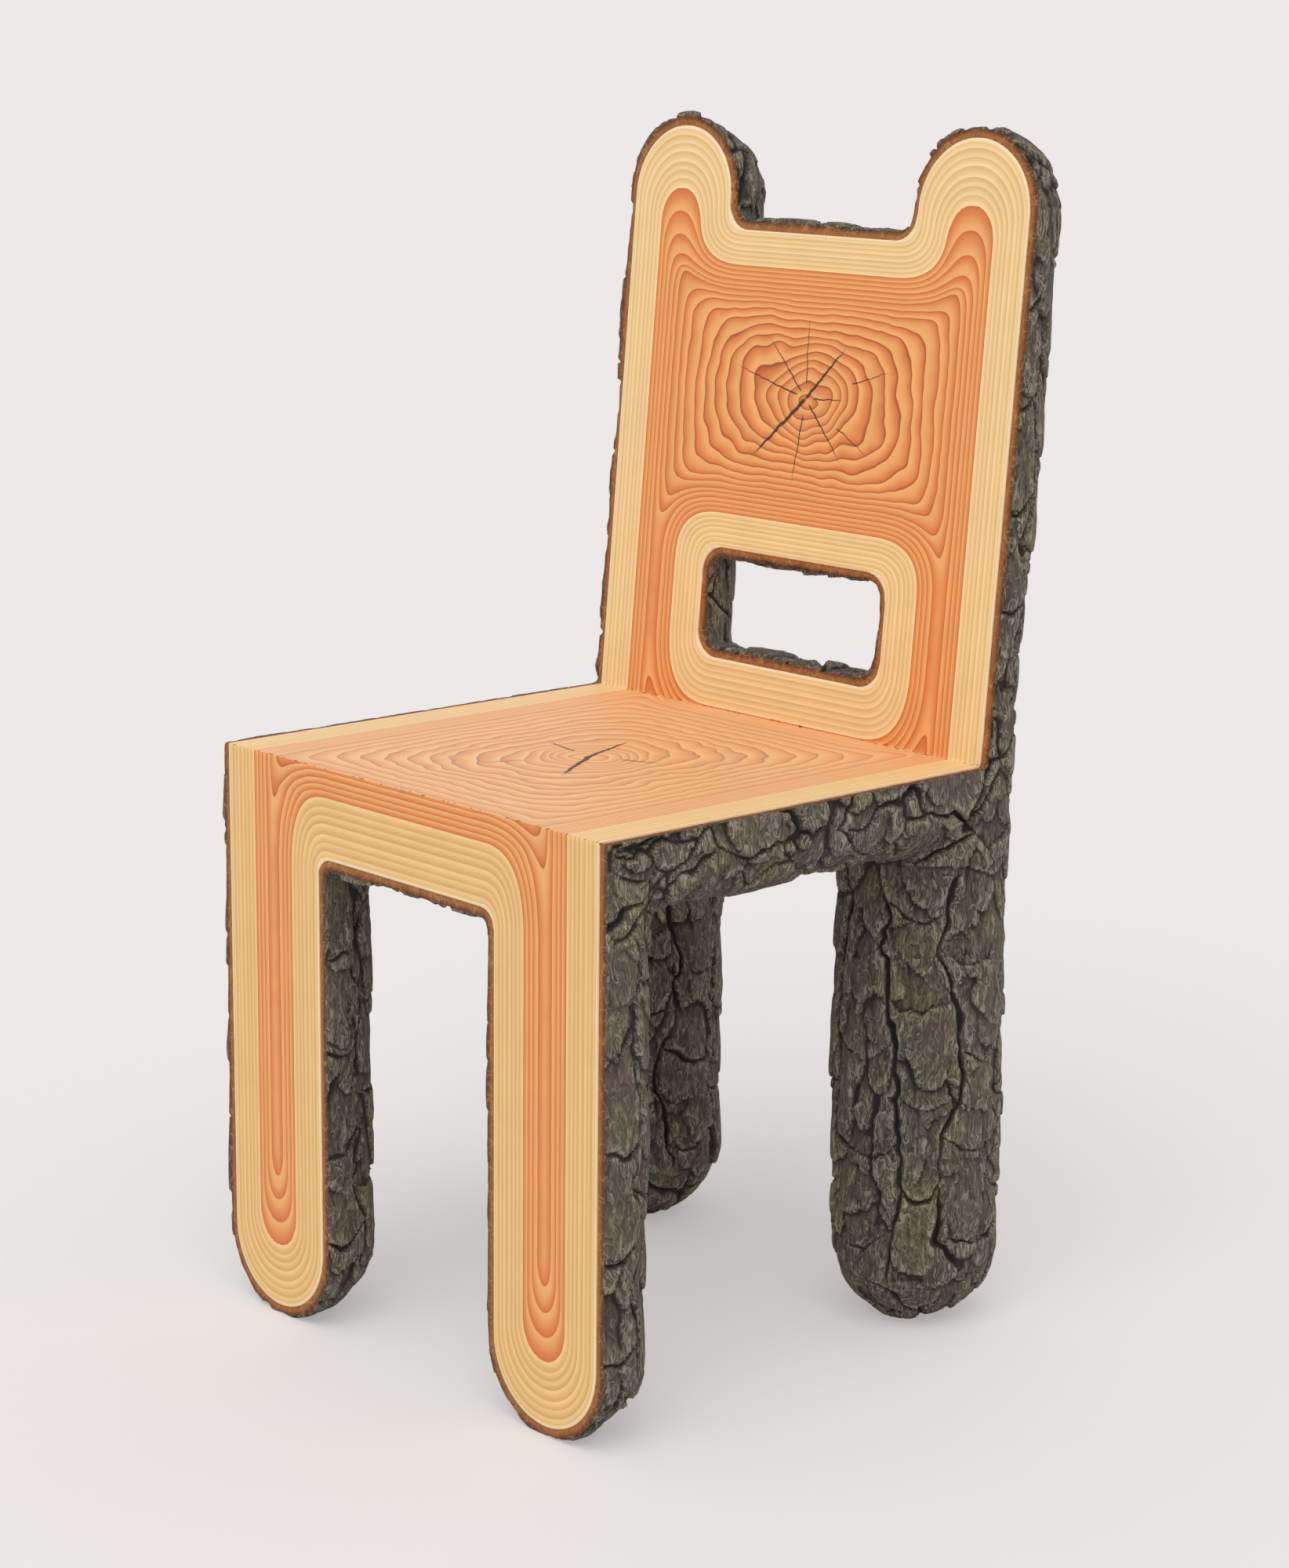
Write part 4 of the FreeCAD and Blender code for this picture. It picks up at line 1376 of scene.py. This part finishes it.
# %% Drying check group
tree, given, end = new_group(
    "drying_check",
    [
        ("Place", VECTOR, (0, 0, 0)),
        ("Pith", VECTOR, (0, 0, 0)),
        ("Angle", NUMBER, 0.0),
        ("Start", NUMBER, 0.0),
        ("Length", NUMBER, 40.0),
        ("Width", NUMBER, 0.6),
    ],
    [("Check", NUMBER)],
)
LANE_GAP = 37.0
WANDER_SCALE, WANDER_BY = 0.09, 4.5
BLUNTNESS, LEAST_WIDTH = 0.6, 0.22
TAPER_IN, CHECK_IN, CHECK_OUT, CHECK_EDGE = (0.0, 0.08), (0.0, 0.06), (1.0, 0.72), (0.0, 0.5)
arm_to = vector_maths(tree, "SUBTRACT", given["Place"], given["Pith"])
cosine, sine = (maths(tree, kind, given["Angle"]) for kind in ("COSINE", "SINE"))
way = node(tree, "ShaderNodeCombineXYZ", {0: cosine, 1: sine}).outputs[0]
aside_way = node(tree, "ShaderNodeCombineXYZ", {0: times(tree, sine, -1.0), 1: cosine}).outputs[0]
out_by = vector_maths(tree, "DOT_PRODUCT", arm_to, way)
aside = vector_maths(tree, "DOT_PRODUCT", arm_to, aside_way)
lane = times(tree, given["Angle"], LANE_GAP)
wander_at = node(tree, "ShaderNodeCombineXYZ", {0: out_by, 1: lane}).outputs[0]
wander_by = maths(tree, "SUBTRACT", noise(tree, wander_at, WANDER_SCALE, detail=3.0, roughness=0.6), 0.5)
aside = maths(tree, "ABSOLUTE", maths(tree, "ADD", aside, times(tree, wander_by, WANDER_BY)))
share = maths(tree, "DIVIDE", maths(tree, "SUBTRACT", out_by, given["Start"]), given["Length"])
left_over = maths(tree, "SUBTRACT", 1.0, share, clamp=True)
taper = times(tree, ramp(tree, share, *TAPER_IN), left_over)
width_share = maths(tree, "ADD", maths(tree, "POWER", taper, BLUNTNESS), LEAST_WIDTH)
half_width = times(tree, given["Width"], width_share)
inside = maths(tree, "SUBTRACT", 1.0, maths(tree, "DIVIDE", aside, half_width))
fading = times(tree, ramp(tree, share, *CHECK_IN), ramp(tree, share, *CHECK_OUT))
tree.links.new(times(tree, ramp(tree, inside, *CHECK_EDGE), fading), end.inputs["Check"])
print("group", tree.name, len(tree.nodes), "nodes")

# %% [markdown]
# ## Ringed face wood
# Cream sapwood with tan lines along every edge and a thin cream line of painted highlight at the very
# edge, orange heartwood inside it, and dark checks round the two piths. The seat is mixed a little toward
# cream all over as painted sheen of the light from above, and the back has the palest sapwood. The finish
# is a thin satin oil, so the shader is fairly rough and the darker late wood is a little rougher. Each
# check is a row of four numbers: its angle, where it starts, its length and its width.

# %% Colours and checks of the face wood
SAP_PALE, SAP_PALEST, SAP_TAN = paint(245, 206, 140), paint(252, 221, 162), paint(219, 163, 91)
HEART_PALE, HEART_LATE, HEART_LINE = paint(244, 178, 106), paint(221, 119, 58), paint(150, 72, 36)
CREAM_HIGHLIGHT, CHECK_DARK = paint(252, 232, 190), paint(32, 14, 8)
BACK_CHECKS = (
    (0.82, -2, 64, 1.5),
    (1.62, 10, 56, 0.6),
    (2.36, 6, 62, 0.75),
    (2.90, 8, 80, 0.75),
    (3.88, -2, 84, 1.9),
    (4.58, 12, 60, 0.75),
    (5.46, 4, 62, 0.9),
    (5.78, 40, 46, 0.55),
    (0.04, 8, 36, 0.7),
    (0.30, 50, 44, 0.55),
)
SEAT_CHECKS = (
    (1.92, -4, 72, 2.3),
    (5.26, -4, 80, 2.7),
    (2.95, 22, 44, 1.4),
    (0.42, 26, 34, 1.4),
    (4.28, 50, 40, 0.7),
)
print("checks:", len(BACK_CHECKS), "on the back,", len(SEAT_CHECKS), "on the seat")

# %% Face wood material
WAVER_SCALE, WAVER_FADE, WAVER_BY = 0.06, (7.0, 16.0), 0.5
RING_UNEVEN = 0.75
EDGE_HIGHLIGHT_FADE, EDGE_HIGHLIGHT_SHARE = (0.5, 0.25), 0.8
LINE_LEAST, LINE_FADE = 0.2, (9.0, 17.0)
TONE_LEAST, TONE_SPREAD = 0.95, 0.08
CLOUD_SCALE, CLOUD_LEAST, CLOUD_SPREAD = 0.03, 0.93, 0.14
LATE_HEIGHT, CHECK_SHARE = 0.05, 0.95
FACE_ROUGH, LATE_ROUGH = 0.46, 0.1
FACE_BUMP = (0.35, 0.0006)


def ringed_face(plate, checks=(), pith=0.0, painted_sheen=0.0, lined=0.6, tanned=0.8, sap_pale=SAP_PALE):
    made, tree, shader = new_material("ringed_wood_of_" + plate.name)
    count = attribute(tree, "ring_count")
    sheet_place = attribute(tree, "sheet_place", "Vector")
    waver = maths(tree, "SUBTRACT", noise(tree, sheet_place, WAVER_SCALE, detail=0.5), 0.5)
    waver_size = times(tree, ramp(tree, count, *WAVER_FADE), WAVER_BY)
    count = maths(tree, "ADD", count, times(tree, waver, waver_size))
    rings = place_group(tree, "growth_rings", {"Count": count, "Uneven": RING_UNEVEN})
    late = rings["Late Wood"]
    sap_colour = mixed(tree, times(tree, late, tanned), sap_pale, SAP_TAN)
    # Painted highlight: a thin cream line along the very edge of the wood.
    edge_highlight = times(tree, ramp(tree, count, *EDGE_HIGHLIGHT_FADE), EDGE_HIGHLIGHT_SHARE)
    sap_colour = mixed(tree, edge_highlight, sap_colour, CREAM_HIGHLIGHT)
    heart_colour = mixed(tree, late, HEART_PALE, HEART_LATE)
    line_share = base_plus(tree, LINE_LEAST, ramp(tree, count, *LINE_FADE), lined)
    heart_colour = mixed(tree, times(tree, rings["Line"], line_share), heart_colour, HEART_LINE)
    base = mixed(tree, rings["Sap"], heart_colour, sap_colour)
    tone = base_plus(tree, TONE_LEAST, rings["Ring Lot"], TONE_SPREAD)
    cloud = noise(tree, sheet_place, CLOUD_SCALE, detail=4.0)
    cloud = base_plus(tree, CLOUD_LEAST, cloud, CLOUD_SPREAD)
    shade = times(tree, tone, cloud)
    shade = node(tree, "ShaderNodeCombineColor", {k: shade for k in range(3)}).outputs[0]
    # Painted sheen: the seat's colour is mixed toward cream all over, as if lit more from above.
    base = mixed(tree, painted_sheen, mixed(tree, 1.0, base, shade, "MULTIPLY"), CREAM_HIGHLIGHT)
    height = times(tree, late, LATE_HEIGHT)
    for angle, start, length, width in checks:
        links = {"Place": sheet_place, "Pith": (0.0, pith, 0.0), "Angle": angle}
        links.update({"Start": float(start), "Length": float(length), "Width": width})
        check = place_group(tree, "drying_check", links)["Check"]
        base = mixed(tree, times(tree, check, CHECK_SHARE), base, CHECK_DARK)
        height = maths(tree, "SUBTRACT", height, check)
    dress_shader(tree, shader, base, base_plus(tree, FACE_ROUGH, late, LATE_ROUGH), height, FACE_BUMP)
    plate.data.materials.append(made)
    print(made.name, len(tree.nodes), "nodes")
    return made


face_wood = ringed_face(front_plate)
# The seat gets painted sheen: its colours are mixed a little toward cream.
ringed_face(seat_plate, SEAT_CHECKS, float(seat_pith[0]), painted_sheen=0.24, lined=0.5)
ringed_face(back_plate, BACK_CHECKS, float(back_pith[0]), tanned=0.62, sap_pale=SAP_PALEST)

# %% [markdown]
# ## Bark
# Grey-brown plates with paler tops, partly wear and partly painted highlight, olive algae on some of them,
# cracks darkened nearly to black with painted shade, and an orange-brown cut band where the log was sawn.
# The mesh already holds cracks and steps, and the vertices say where they are, so the colours fall exactly
# into the relief. Only thin flakes, fibres and specks are left to bump: streaks run upright, and a noise
# that is cut into layers gives flakes with a painted highlight on the lip and painted shade at the foot.

# %% Fibres and flakes of the bark
BEND_SCALE, BEND = 45.0, (0.012, 0.012, 0.012)
STREAK_STRETCH, HAIR_STRETCH = (300, 300, 62), (800, 800, 130)
FLAKE_STRETCH, FLAKE_LAYERS = (62, 62, 26), 9.0
LIP_HIGHLIGHT_FADE, FOOT_SHADE_FADE = (0.6, 0.95), (0.3, 0.0)
BLOTCH_SCALE, SPECK_SCALE = 26.0, 320.0

bark, tree, shader = new_material("bark_plated")
place = object_place(tree)
bend = node(tree, "ShaderNodeTexNoise", {"Vector": place, "Scale": BEND_SCALE}).outputs["Color"]
bent = vector_maths(tree, "MULTIPLY_ADD", bend, BEND, place)
streak = fibre_streaks(tree, bent, STREAK_STRETCH, softness=0.2)
hair = fibre_streaks(tree, bent, HAIR_STRETCH, softness=0.16)
layers = noise(tree, vector_maths(tree, "MULTIPLY", bent, FLAKE_STRETCH), 1.0, detail=2.0, roughness=0.5)
flake = maths(tree, "FRACT", times(tree, layers, FLAKE_LAYERS))
# Painted light on the bump-only flakes: a pale highlight at each lip and shade at each foot.
flake_lip_highlight, flake_foot_shade = ramp(tree, flake, *LIP_HIGHLIGHT_FADE), ramp(tree, flake, *FOOT_SHADE_FADE)
blotch = noise(tree, place, BLOTCH_SCALE, detail=4.0, roughness=0.6)
speck = noise(tree, place, SPECK_SCALE, detail=3.0, roughness=0.65)
print("fibres and flakes", len(tree.nodes), "nodes")

# %% [markdown]
# The colours go on one over the other: brown plates, some of them redder, then algae on raised scales,
# pale fibres and lips that are partly wear and partly painted highlight, painted shade in the hollows,
# and last painted shade in the splits.

# %% Colours of the bark
BARK_DARK, BARK_MID, PALE_WEAR_AND_HIGHLIGHT = paint(56, 46, 39), paint(114, 99, 85), paint(206, 198, 176)
BARK_RED = paint(108, 85, 73)
ALGAE, ALGAE_BRIGHT = paint(108, 110, 60), paint(166, 168, 86)
HOLLOW_SHADE_DARK, CRACK_SHADE_BLACK = paint(33, 27, 23), paint(22, 17, 14)
RAISED_FADE, HOLLOW_SHADE_FADE, SPLIT_SHADE_FADE = (0.1, -0.5), (0.05, 0.75), (0.15, 0.95)
RED_FADE, RED_SHARE = (0.5, 0.9), 0.6
MOSS_BLOTCH, MOSS_SCALE, MOSS_SPECK = (0.44, 0.64), (0.25, 0.75), (0.42, 0.66)
WEAR_AND_HIGHLIGHT_FADE = (0.3, 0.9)
HOLLOW_SHADE_SHARE, FOOT_SHADE_SHARE, SPLIT_SHADE_SHARE = 0.85, 0.5, 0.7

hollow_here = attribute(tree, "hollow")
raised = ramp(tree, hollow_here, *RAISED_FADE)
colour = mixed(tree, streak, BARK_DARK, BARK_MID)
reddish = times(tree, ramp(tree, attribute(tree, "plate_lot"), *RED_FADE), RED_SHARE)
colour = mixed(tree, reddish, colour, BARK_RED)
on_scale = ramp(tree, attribute(tree, "scale_lot"), *MOSS_SCALE)
mossy = times(tree, ramp(tree, blotch, *MOSS_BLOTCH), on_scale)
mossy = times(tree, mossy, base_plus(tree, 0.35, raised, 0.65))
algae = mixed(tree, ramp(tree, speck, *MOSS_SPECK), ALGAE, ALGAE_BRIGHT)
colour = mixed(tree, times(tree, mossy, base_plus(tree, 0.4, hair, 0.5)), colour, algae)
# Paler fibres and flake lips, more on raised parts: partly wear, partly painted highlight.
worn_and_highlit = times(tree, ramp(tree, hair, *WEAR_AND_HIGHLIGHT_FADE), base_plus(tree, 0.1, raised, 0.5))
lip_highlight = times(tree, flake_lip_highlight, base_plus(tree, 0.22, raised, 0.5))
colour = mixed(tree, maths(tree, "MAXIMUM", worn_and_highlit, lip_highlight), colour, PALE_WEAR_AND_HIGHLIGHT)
# Painted shade: the hollows of the relief and the feet of the flakes are darkened.
hollow_shade = times(tree, ramp(tree, hollow_here, *HOLLOW_SHADE_FADE), HOLLOW_SHADE_SHARE)
hollow_shade = maths(tree, "MAXIMUM", hollow_shade, times(tree, flake_foot_shade, FOOT_SHADE_SHARE))
colour = mixed(tree, hollow_shade, colour, HOLLOW_SHADE_DARK)
# Painted shade: the deep parts of the splits are darkened nearly to black.
crack = ramp(tree, attribute(tree, "crack_shade"), *SPLIT_SHADE_FADE)
colour = mixed(tree, times(tree, crack, SPLIT_SHADE_SHARE), colour, CRACK_SHADE_BLACK)
print("bark colours", len(tree.nodes), "nodes")

# %% [markdown]
# The cut band is orange-brown next to the wood and darker outside, with pale squiggles of cork in it. Its
# outer border is made ragged by the same specks that mottle the algae.

# %% Cut band, roughness and bump of the bark
CUT_BROWN, CUT_DARK, CUT_PALE = paint(200, 125, 62), paint(126, 72, 36), paint(228, 170, 96)
RAGGED = 3.0
CORK_SCALE, CORK_FADE, CORK_SHARE = 90.0, (0.03, 0.0), 0.55
DARK_FADE, CUT_FADE, BAND_END = (2.5, 6.5), (0.3, 0.6), (8.2, 6.6)
BARK_ROUGH, STREAK_ROUGH = 0.6, 0.25
STREAK_HEIGHT = 0.5
BUMP_SHARES = ((hair, 0.3), (speck, 0.25), (flake, 0.7))
BARK_BUMP = (1.0, 0.004)

ragged = times(tree, maths(tree, "SUBTRACT", speck, 0.5), RAGGED)
ragged_reach = maths(tree, "ADD", attribute(tree, "rim_reach"), ragged)
cork = maths(tree, "SUBTRACT", noise(tree, place, CORK_SCALE, detail=1.0), 0.5)
squiggle = ramp(tree, maths(tree, "ABSOLUTE", cork), *CORK_FADE)
cut = mixed(tree, ramp(tree, ragged_reach, *DARK_FADE), CUT_BROWN, CUT_DARK)
cut = mixed(tree, times(tree, squiggle, CORK_SHARE), cut, CUT_PALE)
on_cut = ramp(tree, attribute(tree, "cut_rim"), *CUT_FADE)
in_band = times(tree, on_cut, ramp(tree, ragged_reach, *BAND_END))
colour = mixed(tree, in_band, colour, cut)
height = times(tree, streak, STREAK_HEIGHT)
for part, share in BUMP_SHARES:
    height = maths(tree, "ADD", height, times(tree, part, share))
dress_shader(tree, shader, colour, base_plus(tree, BARK_ROUGH, streak, STREAK_ROUGH), height, BARK_BUMP)
for piece in bark_pieces:
    piece.data.materials.append(bark)
print("bark", len(tree.nodes), "nodes")

# %% [markdown]
# ## Wood and steel inside
# Logs, rails, dowels and screws are hidden inside the chair. They keep their solids and get plain honest
# finishes: sawn pine with rings, turned dowels with fine fibres, and brushed steel.

# %% Materials of the inner solids
CORE_PALE, CORE_LATE = paint(232, 186, 124), paint(206, 142, 84)
DOWEL_PALE, DOWEL_LATE = paint(224, 190, 146), paint(196, 156, 110)
STEEL_DARK, STEEL_PALE = paint(150, 150, 154), paint(190, 190, 193)
RING_SLANT = (210.0, 1000.0, 60.0)


def sawn_wood(name, pale, late, stretch, ring):
    """Sawn wood with slanting rings, about ring millimetres apart, and upright streaks."""
    made, tree, shader = new_material(name)
    place = object_place(tree)
    across = vector_maths(tree, "DOT_PRODUCT", place, RING_SLANT)
    rings = place_group(tree, "growth_rings", {"Count": maths(tree, "DIVIDE", across, ring)})
    streak = fibre_streaks(tree, place, stretch)
    colour = mixed(tree, rings["Late Wood"], pale, late)
    colour = mixed(tree, times(tree, streak, 0.3), colour, late)
    dress_shader(tree, shader, colour, base_plus(tree, 0.5, streak, 0.2))
    return made


core_wood = sawn_wood("core_wood_sawn", CORE_PALE, CORE_LATE, (320, 320, 26), ring=4.5)
dowel_wood = sawn_wood("dowel_wood_turned", DOWEL_PALE, DOWEL_LATE, (420, 420, 40), ring=2.2)
screw_steel, tree, shader = new_material("screw_steel_brushed")
streak = fibre_streaks(tree, object_place(tree), (900, 900, 140), softness=0.3)
brushed = mixed(tree, streak, STEEL_DARK, STEEL_PALE)
dress_shader(tree, shader, brushed, base_plus(tree, 0.25, streak, 0.2))
shader.inputs["Metallic"].default_value = 1.0
for name, solid in frame["nodes"].items():
    finish = screw_steel if "screws" in name else dowel_wood if "dowels" in name else core_wood
    finish = face_wood if name.endswith("_facing") else bark if "_bark" in name else finish
    solid.data.materials.clear()
    solid.data.materials.append(finish)
stood_for = {n for o in bpy.data.objects for n in o.get("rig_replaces", [])}
print("inner solids", len(frame["nodes"]) - len(stood_for))

# %% [markdown]
# ## Studio
# The chair stands on a plain pale floor under soft light. A large soft sun from the front right gives a
# soft shadow, and an even sky fills it. The floor runs on to the horizon and the sky there has the same
# pale colour, so no edge shows. What the camera sees of the floor glows a little, which keeps its shadow
# as faint as in a bright studio.

# %% Floor
FLOOR_REACH, FLOOR_SIDES = 60.0, 64
FLOOR_GREY = paint(236, 233, 232)
SHADOW_LIFT = 0.42

turns = [k * math.tau / FLOOR_SIDES for k in range(FLOOR_SIDES)]
rim_points = [(FLOOR_REACH * math.cos(turn), FLOOR_REACH * math.sin(turn), 0.0) for turn in turns]
floor_mesh = bpy.data.meshes.new("studio_floor")
floor_mesh.from_pydata(rim_points, [], [tuple(range(FLOOR_SIDES))])
floor = bpy.data.objects.new("studio_floor", floor_mesh)
bpy.context.scene.collection.objects.link(floor)
floor_paper, tree, shader = new_material("studio_paper")
shader.inputs["Base Color"].default_value = FLOOR_GREY
shader.inputs["Roughness"].default_value = 0.75
shader.inputs["Specular IOR Level"].default_value = 0.2
rays = node(tree, "ShaderNodeLightPath").outputs
glow = node(tree, "ShaderNodeEmission", {"Color": FLOOR_GREY, "Strength": 1.0}).outputs[0]
lifted = times(tree, rays["Is Camera Ray"], SHADOW_LIFT)
surface = node(tree, "ShaderNodeMixShader", {0: lifted, 1: shader.outputs[0], 2: glow}).outputs[0]
tree.links.new(surface, tree.nodes["Material Output"].inputs["Surface"])
floor_mesh.materials.append(floor_paper)
floor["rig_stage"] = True
print("floor", 2 * FLOOR_REACH, "m across")

# %% Light and sky
SKY_FILL = 0.65
SUN_STRENGTH = 1.3
SUN_SPREAD = math.radians(50)
SUN_FROM = Vector((0.5, -0.75, 1.4))

sun = bpy.data.objects.new("soft_key", bpy.data.lights.new("soft_key", "SUN"))
sun.data.energy = SUN_STRENGTH
sun.data.angle = SUN_SPREAD
sun.rotation_mode = "QUATERNION"
sun.rotation_quaternion = (-SUN_FROM).to_track_quat("-Z", "Y")
bpy.context.scene.collection.objects.link(sun)

world = bpy.data.worlds.new("studio_sky")
bpy.context.scene.world = world
world.use_nodes = True
tree = world.node_tree
tree.nodes.clear()
rays = node(tree, "ShaderNodeLightPath").outputs
mirrored = maths(tree, "MAXIMUM", rays["Is Glossy Ray"], rays["Is Transmission Ray"])
seen = maths(tree, "MAXIMUM", rays["Is Camera Ray"], mirrored)
fill = node(tree, "ShaderNodeBackground", {"Color": (1, 1, 1, 1), "Strength": SKY_FILL}).outputs[0]
pale = node(tree, "ShaderNodeBackground", {"Color": FLOOR_GREY, "Strength": 1.0}).outputs[0]
sky = node(tree, "ShaderNodeMixShader", {0: seen, 1: fill, 2: pale}).outputs[0]
node(tree, "ShaderNodeOutputWorld", {"Surface": sky})
bpy.context.scene.view_settings.view_transform = "Standard"
print("studio ready")

# %% Boxes of the frame and of the dressing, and finish
bpy.context.view_layer.update()
low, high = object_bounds()
{"cad": [list(cad_low), list(cad_high)], "visual": [list(low), list(high)]}
print("dressed box", [round(v, 4) for v in (*low, *high)])
